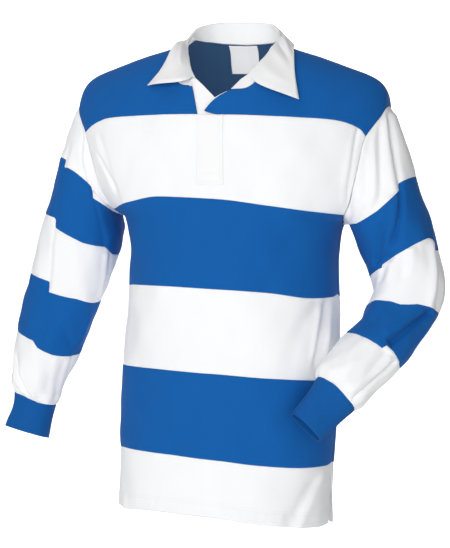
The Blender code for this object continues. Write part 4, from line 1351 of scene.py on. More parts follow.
# ---------------------------------------------------------------- sleeves
@dataclass
class Sleeve:
    """Five hoops and a rib cuff round one arm.

    Folds are given by station, 0 at the armhole to 6 at the end of the cuff, and turn, 0 at the
    outer edge and a quarter in front.
    """

    side: Side
    # station, centre x y z, outer edge vector x y z, half depth, drop of the front edge
    stations: Table
    # start station turn, end station turn, width mm, height mm, skew, bow mm, two fades
    creases: Table
    # for each of the five seams: turn, and how far it strays down the sleeve in stations
    strays: tuple[Table, ...]
    wall: float = 0.0015
    rib_wall: float = 0.0022
    cap_bulge: float = 0.001
    cap_out: tuple[float, float, float] = (0.75, 0.0, 0.66)   # its direction, away from the body
    fold_start: float = 0.12     # stations over which folds begin at the armhole
    # gathers above the cuff: swell, wave, distance from the cuff and reach
    gathers: tuple[float, ...] = (0.0022, 0.0016, 0.016, 0.014)
    key_rings: tuple[int, int] = (10, 100)    # steps over the cap and over the rest
    section_power: float = 2.25
    around: int = 144
    ribs: int = 66
    rib_high: float = 0.00045
    # name, finish, rows, rough length
    parts: tuple[tuple[str, str, int, float], ...] = (
        ("sleeve_cap", "white_jersey", 52, 0.19),
        ("sleeve_upper_arm_hoop", "blue_jersey", 28, 0.085),
        ("sleeve_elbow_hoop", "white_jersey", 30, 0.085),
        ("sleeve_forearm_hoop", "blue_jersey", 30, 0.085),
        ("sleeve_wrist_hoop", "white_jersey", 30, 0.085),
        ("cuff", "blue_rib", 16, 0.060),
    )

    def armhole(self, form: BodyForm, around: int) -> Array:
        """Armhole at even steps, from the shoulder tip down the front and up the back.

        Args:
            form: the trunk.
            around: number of points.

        Returns:
            The points.
        """
        z = np.linspace(form.armhole[-1][0], form.armpit_z, 400)
        x = self.side.value * form.edge_x(z)
        halves = []
        for face in Face:
            line = form.leaned(np.stack([x, form.body_y(face, x, z), z], -1))
            way = way_along(line)
            halves.append(at_way(way, line, np.linspace(0, way[-1], around // 2 + 1)))
        return np.concatenate([halves[0], halves[1][-2:0:-1]])

    def ring(self, station: float, around: int) -> Array:
        """Ring of the sleeve at a station.

        Args:
            station: where along the sleeve.
            around: number of points.

        Returns:
            The points from the outer edge round by the front.
        """
        first, last = self.stations[0][0], self.stations[-1][0]
        behind, value, ahead = follow(
            self.stations, (max(station - 0.1, first), station, min(station + 0.1, last)))
        axis, outer, (depth, drop) = unit(ahead[:3] - behind[:3]), value[3:6], value[6:]
        front = np.cross(axis, unit(outer))
        front = unit(front - axis * np.dot(front, axis))
        front = -front if front[1] > 0 else front
        front = front * depth - np.array((0.0, 0.0, drop))
        angle = np.arange(around)[:, None] * TURN / around
        c, s = (np.sign(part) * np.abs(part) ** (2 / self.section_power)
                for part in (np.cos(angle), np.sin(angle)))
        return value[:3] + c * outer + s * front

    def smooth_grid(self, start: Array, stations: Array) -> Array:
        """Sleeve without folds at each station and turn.

        Args:
            start: the armhole.
            stations: one station for each row and turn.

        Returns:
            The points.
        """
        around = len(start)
        cap, rest = self.key_rings
        keys = np.concatenate([np.linspace(0, 1, cap + 1)[:-1], np.linspace(1, 6, rest + 1)])
        first, out = self.ring(1.0, around), np.array(self.cap_out) * (self.side.value, 1, 1)
        top = np.cos(np.arange(around) / around * TURN).clip(0, 1)[:, None] ** 1.5
        rows = np.stack([
            self.ring(float(key), around) if key >= 1.0 else
            start * (1 - key) + first * key + self.cap_bulge * math.sin(math.pi * key) * top * out
            for key in keys])
        return np.stack([at_way(keys, rows[:, j], stations[:, j]) for j in range(around)], axis=1)

    def stray(self, seam: int, turn: Array) -> Array:
        """How far a seam strays from its level ring, which steps where the cloth is folded over.

        Args:
            seam: the seam, 0 at the armhole and 6 at the end of the cuff.
            turn: where round the sleeve.

        Returns:
            The stray in stations, down the sleeve.
        """
        if not 1 <= seam <= len(self.strays):
            return 0 * turn
        turns, strays = zip(*self.strays[seam - 1])
        return np.interp(turn, turns, strays, period=1.0)

    def folds(self, girth: Array, stations: Array) -> Array:
        """The sleeve's folds and ripples, which start at the armhole seam.

        Args:
            girth: metres round the sleeve.
            stations: where along it.

        Returns:
            Heights in metres.
        """
        total = ripple(girth * 1.3, stations * SLEEVE_PITCH, 0.0)
        for s0, t0, s1, t1, *shape in self.creases:
            crease = Crease(t0 * SLEEVE_GIRTH / MM, -s0 * SLEEVE_PITCH / MM,
                            t1 * SLEEVE_GIRTH / MM, -s1 * SLEEVE_PITCH / MM, *shape)
            for wrap in (-SLEEVE_GIRTH, 0.0, SLEEVE_GIRTH):
                total = total + crease.relief(girth + wrap, -stations * SLEEVE_PITCH)
        return ease(stations / self.fold_start) * total

    def blouse(self, turn: Array, below: Array) -> Array:
        """Gathers where the wrist hoop is eased on to the cuff.

        Args:
            turn: where round the sleeve.
            below: distance above the cuff.

        Returns:
            Heights in metres.
        """
        wave = np.sin(TURN * (turn * 9 + 0.13 * np.sin(turn * 12.6)) + self.side.value)
        swell, high, place, reach = self.gathers
        return (swell + high * wave) * bell(below - place, reach)

    def piece(self, index: int, form: BodyForm) -> Panel:
        """One hoop or the cuff.

        Args:
            index: its place from the armhole.
            form: the trunk that the sleeve is sewn to.

        Returns:
            The panel.
        """
        name, _, count, length = self.parts[index]
        cuff = name == "cuff"
        around = self.ribs * 4 if cuff else self.around
        turn = (np.arange(around) / around)[None, :]
        t = spread(count, length, last=not cuff)[:, None]
        stations = index + t + self.stray(index, turn) * (1 - t) + self.stray(index + 1, turn) * t
        grid = self.smooth_grid(self.armhole(form, around), np.clip(stations, 0.0, 6.0))
        reach = np.linalg.norm(grid[-1] - grid[0], axis=1)
        above, below, girth = t * reach, (1 - t) * reach, turn * SLEEVE_GIRTH
        seed = index * 1.7 + self.side.value
        raised = seam_relief(girth, above, seed)
        if cuff:
            raised = raised - self.rib_high * (1 - np.cos(TURN * turn * self.ribs)) * 0.5
        else:
            raised = raised + seam_relief(girth, below, seed + 1.7) + self.folds(girth, stations)
        if name == "sleeve_wrist_hoop":
            raised = raised + self.blouse(turn, below)
        normal = facing_out(grid_normals(grid, closed=True), grid, grid.mean(axis=1, keepdims=True))
        return Panel(f"{self.side.name.lower()}_{name}", grid + normal * raised[..., None], normal,
                     self.rib_wall if cuff else self.wall, closed=True)

    def build(self, form: BodyForm, wardrobe: Wardrobe) -> None:
        """Make the sleeve.

        Args:
            form: the trunk that it is sewn to.
            wardrobe: the finishes.
        """
        for index, (_, finish, *_) in enumerate(self.parts):
            self.piece(index, form).dress(wardrobe, finish)


LEFT_SLEEVE = Sleeve(
    Side.LEFT,
    stations=(
        (1.0, 0.2440, 0.003, -0.2385, 0.0495, 0.000, 0.0385, 0.068, 0.008),
        (2.0, 0.2790, 0.012, -0.3300, 0.0500, 0.004, 0.0260, 0.064, -0.012),
        (2.5, 0.2880, 0.008, -0.3680, 0.0530, 0.010, 0.0060, 0.060, -0.006),
        (3.0, 0.2815, -0.004, -0.4005, 0.0530, 0.012, -0.0070, 0.057, 0.014),
        (3.5, 0.2680, -0.030, -0.4330, 0.0420, 0.011, -0.0175, 0.052, 0.010),
        (4.0, 0.2495, -0.054, -0.4630, 0.0370, 0.010, -0.0260, 0.048, 0.006),
        (4.7, 0.2115, -0.086, -0.5130, 0.0315, 0.009, -0.0275, 0.042, 0.000),
        (5.0, 0.2010, -0.095, -0.5300, 0.0265, 0.008, -0.0240, 0.032, 0.000),
        (6.0, 0.1645, -0.120, -0.5790, 0.0210, 0.006, -0.0200, 0.027, 0.000),
    ),
    creases=(
        (0.02, 0.045, 1.02, 0.142, 4.5, -4.6, 0.9, 0, 0.08, 0.06),
        (0.02, 0.075, 1, 0.172, 7, 3, 0.8, 0, 0.08, 0.1),
        (0.02, 0.09, 0.98, 0.25, 6, -3.6, 1.2, 0, 0.08, 0.15),
        (0.02, 0.12, 0.98, 0.285, 8, 2.8, 0.8, 0, 0.1, 0.2),
        (0.05, 0.2, 0.9, 0.33, 7, -1.6, 1, 0, 0.15, 0.3),
        (0.05, 0.01, 1.05, 0.045, 12, 3.4, 1.4, 0, 0.1, 0.2),
        (0.99, 0.134, 1.85, 0.29, 5, -6.2, 0.8, 0, 0.05, 0.3),
        (1, 0.165, 1.85, 0.315, 7, 3.4, 1, 0, 0.08, 0.3),
        (1.15, 0.242, 1.97, 0.375, 7, -4.6, 1, 0, 0.25, 0.15),
        (1.25, 0.3, 1.95, 0.405, 6, 2.6, 1, 0, 0.25, 0.2),
        (1.7, 0.34, 2.1, 0.27, 10, -3, 0.8, 0, 0.3, 0.3),
        (2, 0.236, 2.7, 0.295, 6, -3.4, 1, 0, 0.05, 0.35),
        (2, 0.2, 2.6, 0.262, 7, 2.8, 1, 0, 0.05, 0.4),
        (2.08, 0.29, 2.62, 0.36, 6, 2.8, 1, 0, 0.1, 0.35),
        (2.1, 0.335, 2.6, 0.412, 6, -3, 1, 0, 0.1, 0.35),
        (1.9, 0.075, 3.1, 0.15, 8, 4.8, 0.7, -8, 0.15, 0.15),
        (1.95, 0.015, 3.1, 0.075, 14, -8.5, 0.8, -8, 0.2, 0.2),
        (3.02, 0.105, 3.96, 0.235, 11, -9.5, 0.5, -6, 0.1, 0.08),
        (3.05, 0.15, 3.92, 0.275, 8, 4, 0.8, -6, 0.12, 0.12),
        (3.3, 0.35, 3.95, 0.4, 9, -3, 1, 0, 0.3, 0.3),
        (4, 0.23, 4.7, 0.19, 9, -5.2, 1.2, 0, 0.06, 0.4),
        (4.02, 0.14, 4.97, 0.17, 4, -5.6, 0.9, 0, 0.06, 0.1),
        (4.02, 0.18, 4.97, 0.215, 6, 2.6, 0.9, 0, 0.08, 0.15),
        (4.1, 0.4, 4.95, 0.33, 10, -2, 1, 0, 0.3, 0.15),
        (4.3, 0.3, 4.95, 0.27, 8, 1.8, 1, 0, 0.3, 0.15),
        (2.3, 0.6, 3.1, 0.75, 12, -5, 1, 0, 0.3, 0.3),
        (0.4, 0.7, 1.6, 0.8, 12, 5, 0.7, 0, 0.3, 0.3),
    ),
    strays=(
        ((0.02, -0.02), (0.125, -0.10), (0.132, -0.10), (0.146, -0.02), (0.257, 0.03), (0.36, 0.00),
         (0.431, -0.28), (0.50, -0.10), (0.58, 0.02), (0.72, -0.04), (0.735, 0.03), (0.88, 0.01)),
        ((0.028, 0.06), (0.069, -0.06), (0.104, -0.08), (0.222, -0.01), (0.340, 0.06), (0.354, 0.12),
         (0.486, 0.00), (0.64, -0.03), (0.65, 0.04), (0.82, 0.03), (0.93, 0.00)),
        ((0.069, -0.01), (0.153, -0.01), (0.208, -0.01), (0.271, 0.10), (0.319, 0.04), (0.451, 0.05),
         (0.60, 0.01), (0.76, 0.03), (0.775, -0.03), (0.90, -0.01)),
        ((0.083, 0.03), (0.188, -0.03), (0.243, -0.03), (0.250, 0.04), (0.354, 0.04), (0.465, 0.03),
         (0.62, 0.00), (0.70, 0.03), (0.71, -0.03), (0.90, 0.01)),
        ((0.104, -0.02), (0.201, -0.02), (0.271, -0.04), (0.479, -0.02), (0.70, 0.01), (0.90, -0.01)),
    ),
)

RIGHT_SLEEVE = Sleeve(
    Side.RIGHT,
    stations=(
        (1.0, -0.2305, 0.000, -0.2255, -0.0490, 0.000, 0.0415, 0.069, -0.005),
        (1.5, -0.2330, -0.002, -0.2620, -0.0575, 0.000, 0.0360, 0.068, 0.010),
        (2.0, -0.2405, -0.006, -0.3010, -0.0605, 0.000, 0.0300, 0.066, 0.016),
        (3.0, -0.2595, -0.018, -0.3880, -0.0590, 0.000, 0.0190, 0.061, 0.022),
        (4.0, -0.2790, -0.038, -0.4780, -0.0510, 0.000, 0.0155, 0.055, 0.020),
        (4.7, -0.2880, -0.058, -0.5420, -0.0385, 0.000, 0.0120, 0.044, 0.010),
        (5.0, -0.2870, -0.064, -0.5660, -0.0335, 0.000, 0.0085, 0.034, 0.004),
        (6.0, -0.2930, -0.078, -0.6175, -0.0350, 0.000, 0.0075, 0.033, 0.004),
    ),
    creases=(
        (0.03, 0.14, 1.06, 0.334, 3.4, -2.4, 1.4, 0, 0.06, 0.08),
        (0.03, 0.165, 1.02, 0.365, 7, 2, 0.8, 0, 0.1, 0.2),
        (1.02, 0.33, 1.97, 0.405, 6, -2, 1, 0, 0.05, 0.15),
        (0.4, 0.11, 1.02, 0.164, 4, -1.8, 1, 0, 0.5, 0.05),
        (1.02, 0.166, 1.99, 0.178, 3.4, -2.2, 1, 0, 0.03, 0.03),
        (1.99, 0.181, 3, 0.226, 2.8, -2.4, 1, 0, 0.03, 0.03),
        (1.99, 0.203, 3, 0.248, 6, 1.6, 1, 0, 0.05, 0.05),
        (1.95, 0.41, 2.97, 0.475, 7, 3.6, 0.8, 0, 0.1, 0.1),
        (1.95, 0.435, 2.97, 0.5, 3, -2.6, 1, 0, 0.1, 0.1),
        (3.01, 0.23, 4, 0.268, 3.4, -2, 1, 0, 0.03, 0.1),
        (3.35, 0.295, 3.95, 0.44, 8, -2.6, 1, 0, 0.3, 0.3),
        (3.1, 0.45, 3.98, 0.45, 9, 2.6, 0.8, 0, 0.3, 0.3),
        (4.25, 0.1, 4.96, 0.258, 4.6, -4.4, 0.9, 0, 0.3, 0.04),
        (4.2, 0.07, 4.96, 0.225, 6, 3.6, 0.9, 0, 0.3, 0.06),
        (4.45, 0.15, 4.97, 0.3, 5, 2, 1, 0, 0.3, 0.06),
        (4.03, 0.31, 4.95, 0.4, 10, -2, 1.4, 0, 0.1, 0.15),
        (4.03, 0.42, 4.95, 0.495, 8, 2.6, 0.9, 0, 0.1, 0.1),
        (4.01, 0.462, 4.97, 0.545, 3, -3.6, 1, 0, 0.04, 0.04),
        (0.4, 0.7, 1.6, 0.8, 12, 5, 0.7, 0, 0.3, 0.3),
        (2.4, 0.65, 3.2, 0.75, 12, -4.5, 1, 0, 0.3, 0.3),
    ),
    strays=(
        ((0.00, -0.02), (0.097, -0.05), (0.150, -0.11), (0.164, 0.05), (0.306, -0.27), (0.325, 0.08),
         (0.403, 0.05), (0.47, 0.02), (0.60, 0.00), (0.71, -0.04), (0.725, 0.04), (0.88, 0.01)),
        ((0.028, -0.01), (0.172, -0.15), (0.182, -0.01), (0.299, -0.03), (0.403, -0.12), (0.451, 0.00),
         (0.549, 0.07), (0.68, 0.03), (0.69, -0.04), (0.86, -0.02)),
        ((0.062, -0.09), (0.215, -0.17), (0.229, 0.00), (0.340, -0.04), (0.45, 0.02), (0.542, 0.06),
         (0.66, 0.01), (0.80, -0.04), (0.81, 0.02), (0.92, -0.02)),
        ((0.118, -0.08), (0.225, -0.09), (0.250, 0.01), (0.271, 0.03), (0.319, 0.05), (0.465, 0.02),
         (0.58, -0.01), (0.73, 0.03), (0.745, -0.02), (0.92, -0.03)),
        ((0.111, -0.03), (0.222, 0.01), (0.319, 0.07), (0.42, 0.02), (0.556, -0.03), (0.75, 0.01),
         (0.92, -0.01)),
    ),
)


# ---------------------------------------------------------------- collar
@dataclass
class NeckRun:
    """What the collar's layers are built on, a row for each place round the neck."""

    way: Array      # part of the way, 0 to 1
    seam: Array     # neck seam
    roll: Array     # fold line
    free: Array     # free edge of the fall
    along: Array    # direction of the fold line
    rise: Array     # direction from the seam up to it
    out: Array      # direction square to both


@dataclass
class Collar:
    """Stand and turned-down fall round the neck, in twill."""

    panels: BodyPanels
    wall: float = 0.0014
    fold_radius: float = 0.0028
    fall_lift: float = 0.0050
    fall_end: float = 0.955      # how far round the neck the fall runs
    end_bow: tuple[float, float] = (0.0145, 0.015)
    end_reach: float = 0.07
    seam_offset: tuple[float, float] = (0.0016, 0.0002)   # foot of the stand: in from the seam, up
    stand_rows: int = 14
    stand_waves: tuple[float, float] = (95, 0.0003)       # waves in radians a turn, height
    fold_turn: float = 1.45      # radians to each side of the top of the fold
    fold_rows: int = 9
    leaf_rows: int = 24
    leaf_bulge: float = 0.0015
    # least distance of the leaf from the yoke's outer face, smooth and creased, less the jersey
    clear: tuple[float, float] = (0.0026, 0.0018)
    free_rows: int = 14          # rows beside the free edge that are cleared once creased
    crease_calm: float = 1.7     # how fast the creases die out at the fold and the free edge
    stand_middle: tuple[float, ...] = (0.0, -0.03, 0.0)
    fall_middle: tuple[float, ...] = (0.0, -0.02, -0.10)
    # part of the way round from the right front end, fold line x y z
    roll: Table = (
        (0.000, -0.0320, -0.1030, -0.0610), (0.080, -0.0430, -0.0870, -0.0460),
        (0.160, -0.0550, -0.0600, -0.0260), (0.245, -0.0670, -0.0300, -0.0030),
        (0.320, -0.0735, 0.0000, 0.0185), (0.390, -0.0650, 0.0280, 0.0355),
        (0.450, -0.0420, 0.0490, 0.0450), (0.500, 0.0000, 0.0580, 0.0460),
        (0.550, 0.0370, 0.0490, 0.0445), (0.610, 0.0590, 0.0290, 0.0340),
        (0.680, 0.0715, 0.0010, 0.0165), (0.755, 0.0735, -0.0310, 0.0010),
        (0.840, 0.0700, -0.0600, -0.0190), (0.925, 0.0590, -0.0870, -0.0440),
        (1.000, 0.0400, -0.1020, -0.0630),
    )
    # free edge: part of the way round, x, shoulder angle (front is -), lift off the yoke
    edge: Table = (
        (0.000, -0.1085, -0.970, 0.0045), (0.060, -0.0995, -0.905, 0.0045),
        (0.110, -0.0910, -0.825, 0.0045), (0.160, -0.0845, -0.700, 0.0045),
        (0.220, -0.0835, -0.450, 0.0045), (0.280, -0.0850, -0.140, 0.0040),
        (0.340, -0.0850, 0.150, 0.0045), (0.400, -0.0765, 0.450, 0.0070),
        (0.450, -0.0500, 0.690, 0.0075), (0.500, 0.0000, 0.780, 0.0075),
        (0.550, 0.0400, 0.660, 0.0075), (0.600, 0.0680, 0.450, 0.0075),
        (0.680, 0.0900, 0.060, 0.0060), (0.780, 0.1060, -0.380, 0.0050),
        (0.890, 0.1170, -0.760, 0.0045), (1.000, 0.1290, -1.075, 0.0045),
    )
    # the fall's turned-under edge inside the fold: how far below its centre, how far in
    tuck: Table = ((0.0090, 0.0012), (0.0060, 0.0007), (0.0035, 0.0002), (0.0010, 0.0))
    # folds of the fall: part of the way round, lean, width, height
    folds: Table = (
        (0.690, 0.14, 0.021, 0.0056), (0.742, 0.13, 0.018, -0.0030), (0.645, 0.13, 0.018, -0.0020),
        (0.830, 0.08, 0.020, 0.0016), (0.930, 0.03, 0.020, 0.0014),
        (0.215, -0.11, 0.018, -0.0012), (0.290, -0.04, 0.014, 0.0008),
        (0.345, 0.00, 0.014, -0.0012), (0.400, 0.00, 0.016, 0.0014), (0.530, 0.02, 0.018, 0.0012),
        (0.580, -0.02, 0.014, -0.0012),
    )

    def neck_line(self) -> Array:
        """Neck seam.

        Returns:
            Its points from the right front end round the back to the left front end.
        """
        at, grids = self.panels.shoulder_cols * self.panels.step, self.panels.grids
        right = grids["front_right_yoke"][0, at:][::-1]
        back = grids["back_yoke"][0, at:-at]
        left = grids["front_left_yoke"][0, :-at][::-1]
        return np.concatenate([right, back[1:], left[1:]])

    def yoke_point(self, x: Array, angle: Array) -> Array:
        """Point of the yoke's smooth form.

        Args:
            x: across.
            angle: round the shoulder from its top, the front is -.

        Returns:
            The points.
        """
        form = self.panels.form
        c = np.cos(angle).clip(1e-6, 1) ** (2 / form.dome_power)
        g = np.abs(np.sin(angle)) ** (2 / form.dome_power)
        z = form.shoulder_z(x) - form.dome_height * (1 - c)
        deep = np.where(angle < 0, -form.depth(Face.FRONT, z), form.depth(Face.BACK, z))
        return form.leaned(np.stack([x, g * deep * form.round_part(x, z), z], -1))

    def free_edge(self, way: Array) -> Array:
        """Free edge of the fall, lifted off the yoke.

        Args:
            way: parts of the way round.

        Returns:
            The points.
        """
        x, angle, lift = follow(self.edge, way).T
        du = self.yoke_point(x + 1e-3, angle) - self.yoke_point(x - 1e-3, angle)
        dv = self.yoke_point(x, angle + 1e-2) - self.yoke_point(x, angle - 1e-2)
        normal = unit(np.cross(du, dv))
        normal = normal * np.where(normal[:, 2:] < 0, -1.0, 1.0)
        return self.yoke_point(x, angle) + normal * lift[:, None]

    def run(self, last: float) -> NeckRun:
        """Where the collar runs, from the right front end.

        Args:
            last: the part of the way round the neck at which it ends.

        Returns:
            Its lines and directions.
        """
        seam = self.neck_line()
        full = way_along(seam)
        full = full / full[-1]
        seam = at_way(full, seam, last * full)
        roll = follow(self.roll, last * full)
        along = unit(np.gradient(roll, axis=0))
        rise = roll - seam
        rise = unit(rise - along * np.sum(rise * along, axis=1, keepdims=True))
        out = unit(np.cross(along, rise))
        if np.sum(out * (seam - seam.mean(axis=0))) < 0:
            out = -out
        return NeckRun(full, seam, roll, self.free_edge(full), along, rise, out)

    def stand(self) -> Array:
        """Outer face of the stand.

        Returns:
            The grid, neck seam row first.
        """
        run = self.run(1.0)
        _, yoke_out = self.panels.form.off_shoulder(run.seam)
        into = unit(np.cross(unit(np.gradient(run.seam, axis=0)), yoke_out))
        inward = np.sum(into * (run.roll - run.seam), axis=1, keepdims=True) >= 0
        into = into * np.where(inward, 1.0, -1.0)
        low = run.seam + into * self.seam_offset[0] + run.rise * self.seam_offset[1]
        high = (run.roll - run.rise * self.fold_radius * 0.6
                - run.out * (self.fold_radius - self.wall - 0.0003))
        waves, height = self.stand_waves
        parts = np.linspace(0.0, 1.0, self.stand_rows)[:, None, None]
        wave = np.sin(run.way * waves)[:, None] * np.sin(parts * math.pi) * height
        return low * (1 - parts) + high * parts + run.out * wave

    def fall(self) -> Array:
        """Outer face of the fall, smooth.

        Returns:
            The grid, from under the fold line over and down to the free edge.
        """
        run, radius, form = self.run(self.fall_end), self.fold_radius, self.panels.form
        centre = run.roll - run.rise * radius
        rows = [centre - run.out * (radius - sunk) - run.rise * low for low, sunk in self.tuck]
        rows += [centre + (run.rise * math.cos(angle) + run.out * math.sin(angle)) * radius
                 for angle in np.linspace(-self.fold_turn, self.fold_turn, self.fold_rows)]
        start = rows[-1]
        _, yoke_out = form.off_shoulder(run.seam)
        straight = start + (run.free - start) * 0.45
        over = np.sum((straight - run.seam) * yoke_out, axis=1, keepdims=True)
        middle = (straight + yoke_out * np.clip(self.fall_lift - over, 0.0, None)
                  + run.out * self.leaf_bulge)
        control = 2 * middle - (start + run.free) / 2
        ends = (bell(1 - run.way, self.end_reach) * self.end_bow[1]
                - bell(run.way, self.end_reach) * self.end_bow[0])[:, None]
        for t in np.linspace(0, 1, self.leaf_rows + 1)[1:]:
            row = start * (1 - t) ** 2 + control * 2 * t * (1 - t) + run.free * t * t
            row = row + run.along * ends * math.sin(math.pi * t**0.7)
            away = ease((t - 0.2) / 0.3) * (JERSEY_DEPTH + self.clear[0])
            rows.append(form.cleared(row, away) if away > 0 else row)
        return np.stack(rows)

    def creased(self, grid: Array, way: Array) -> Array:
        """The fall with its soft folds raised.

        Args:
            grid: the smooth fall.
            way: part of the way round for each column.

        Returns:
            The grid, still clear of the yoke.
        """
        part = np.linspace(0, 1, len(grid))[:, None]
        normal = facing_out(grid_normals(grid), grid, np.array(self.fall_middle))
        raised = sum(height * bell(way - at - lean * part, width)
                     for at, lean, width, height in self.folds)
        raised = raised * np.sin(part * math.pi) ** self.crease_calm
        folded = grid + normal * raised[..., None]
        low = len(grid) - self.free_rows
        folded[low:] = self.panels.form.cleared(folded[low:], JERSEY_DEPTH + self.clear[1])
        return folded

    def build(self, wardrobe: Wardrobe) -> Panel:
        """Make the stand and the fall.

        Args:
            wardrobe: the finishes.

        Returns:
            The fall, for its stitches.
        """
        fall = self.creased(self.fall(), self.run(self.fall_end).way)
        for name, grid, middle in (("collar_stand", self.stand(), self.stand_middle),
                                   ("collar_fall", fall, self.fall_middle)):
            normal = facing_out(grid_normals(grid), grid, np.array(middle))
            panel = Panel(name, grid, normal, self.wall)
            panel.dress(wardrobe, "white_twill")
        return panel


# ---------------------------------------------------------------- placket and label
@dataclass
class Placket:
    """Concealed front opening: band, underlay and the strip behind the open corner."""

    panels: BodyPanels
    left_x: float = -0.0230
    right_x: float = 0.0190
    foot_z: float = -0.2260
    gap: float = 0.0003
    top_gap: float = 0.0004
    wall: float = 0.0014
    thin: float = 0.0012
    underlay_depth: float = 0.0023
    padding: tuple[float, float] = (0.0009, 0.0120)       # rise of the band's middle, its reach
    open_edge: tuple[float, float] = (0.0014, 0.006)      # lift of the free edge, its width
    open_above: tuple[float, float] = (0.075, 0.025)      # from this far up, over this height
    button_wave: tuple[float, float] = (0.0004, 120)      # over the hidden buttons, radians a metre
    band_grid: tuple[int, int] = (28, 64)                 # columns and rows
    underlay_grid: tuple[int, int] = (22, 60)
    facing_trim: int = 5                                  # the yoke's rows left out at each end
    # underlay: height z, left x, right x
    underlay: Table = (
        (-0.0630, -0.0360, -0.0300), (-0.0765, -0.0385, -0.0145), (-0.0910, -0.0380, 0.0005),
        (-0.1050, -0.0340, 0.0150),
        (-0.1200, -0.0290, 0.0190), (-0.1560, -0.0260, 0.0190), (-0.1920, -0.0250, 0.0190),
        (-0.2260, -0.0250, 0.0190),
    )
    # the facing: how far its columns stand past the open edge, then the yoke's columns it follows
    facing_past: tuple[float, ...] = (0.0032, 0.0016, 0.0)
    facing_cols: tuple[int, ...] = (1, 2, 4, 6)

    def strip(self, x: Array, z: Array, offset: Array | float) -> tuple[Array, Array]:
        """Strip that follows the front at an offset.

        Args:
            x: places across, one for each point.
            z: heights, one for each point.
            offset: distance out from the cloth's outer face.

        Returns:
            The grid and its outward directions.
        """
        points = self.panels.form.surface(Face.FRONT, x, z)
        normal = grid_normals(points)
        if np.mean(normal[..., 1]) > 0:
            normal = -normal
        return points + normal * np.asarray(offset)[..., None], normal

    def band(self) -> Panel:
        """The outer band, flat at its sewn edges, with the buttons' faint lift.

        Returns:
            The panel.
        """
        cols, rows = self.band_grid
        top = self.panels.form.centre_seam_z - self.top_gap
        x, z = np.meshgrid(np.linspace(self.left_x, self.right_x, cols),
                           np.linspace(top, self.foot_z, rows))
        side, foot = np.minimum(x - self.left_x, self.right_x - x), z - self.foot_z
        edge = np.minimum(side, foot)
        (padded, inset), (loose, reach) = self.padding, self.open_edge
        (above, grows), (wave, waves) = self.open_above, self.button_wave
        lift = self.gap + padded * ease(edge / inset)
        lift = lift + loose * ease(1 - (self.right_x - x) / reach) * ease((foot - above) / grows)
        lift = lift + wave * np.sin(z * waves) * ease(edge / 0.01)
        return Panel("placket_band", *self.strip(x, z, lift), self.wall)

    def underlay_panel(self) -> Panel:
        """The strip that lies under the opening, behind both fronts.

        Returns:
            The panel.
        """
        cols, rows = self.underlay_grid
        z = np.linspace(self.underlay[0][0], self.underlay[-1][0], rows)[:, None]
        low, high = look_up(self.underlay, 1, z), look_up(self.underlay, 2, z)
        part = np.linspace(0.0, 1.0, cols)
        x = low * (1 - part) + high * part
        return Panel("placket_underlay", *self.strip(x, z + 0 * x, -self.underlay_depth), self.thin)

    def facing(self) -> Panel:
        """White strip behind the open corner, showing past its edge.

        Returns:
            The panel.
        """
        grid, normal = self.panels.grids["front_left_yoke"], self.panels.normals["front_left_yoke"]
        step = unit(grid[:, 0] - grid[:, 1])
        cols = [grid[:, 0] + step * past for past in self.facing_past]
        cols += [grid[:, k] for k in self.facing_cols]
        out = [normal[:, 0]] * len(self.facing_past) + [normal[:, k] for k in self.facing_cols]
        kept = slice(self.facing_trim, -self.facing_trim)
        strip, out = np.stack(cols, axis=1)[kept], np.stack(out, axis=1)[kept]
        return Panel("placket_facing", strip - out * (JERSEY_DEPTH + self.gap), out, self.thin)

    def build(self, wardrobe: Wardrobe) -> Panel:
        """Make the three pieces.

        Args:
            wardrobe: the finishes.

        Returns:
            The band, for its stitches.
        """
        band = self.band()
        for panel in (band, self.underlay_panel(), self.facing()):
            panel.dress(wardrobe, "white_twill")
        return band


@dataclass
class NeckLabel:
    """Bare woven label sewn in at the back of the neck."""

    panels: BodyPanels
    centre_x: float = -0.0055
    wide: float = 0.047
    high: float = 0.041
    top_z: float = 0.0108
    wall: float = 0.0008
    lift: tuple[float, float] = (0.0009, 0.0006)   # at the top, and how much more at the foot

    def build(self, wardrobe: Wardrobe) -> None:
        """Make the label on the inner face of the back yoke.

        Args:
            wardrobe: the finishes.
        """
        half, form = self.wide / 2, self.panels.form
        x, z = np.meshgrid(np.linspace(self.centre_x - half, self.centre_x + half, 30),
                           np.linspace(self.top_z, self.top_z - self.high, 28))
        points = form.surface(Face.BACK, x, z)
        _, normal = form.off_shoulder(points)
        lift = JERSEY_DEPTH + self.lift[0] + self.lift[1] * ease((self.top_z - z) / self.high)
        Panel("neck_label", points - normal * lift[..., None], -normal, self.wall).dress(
            wardrobe, "label_satin")


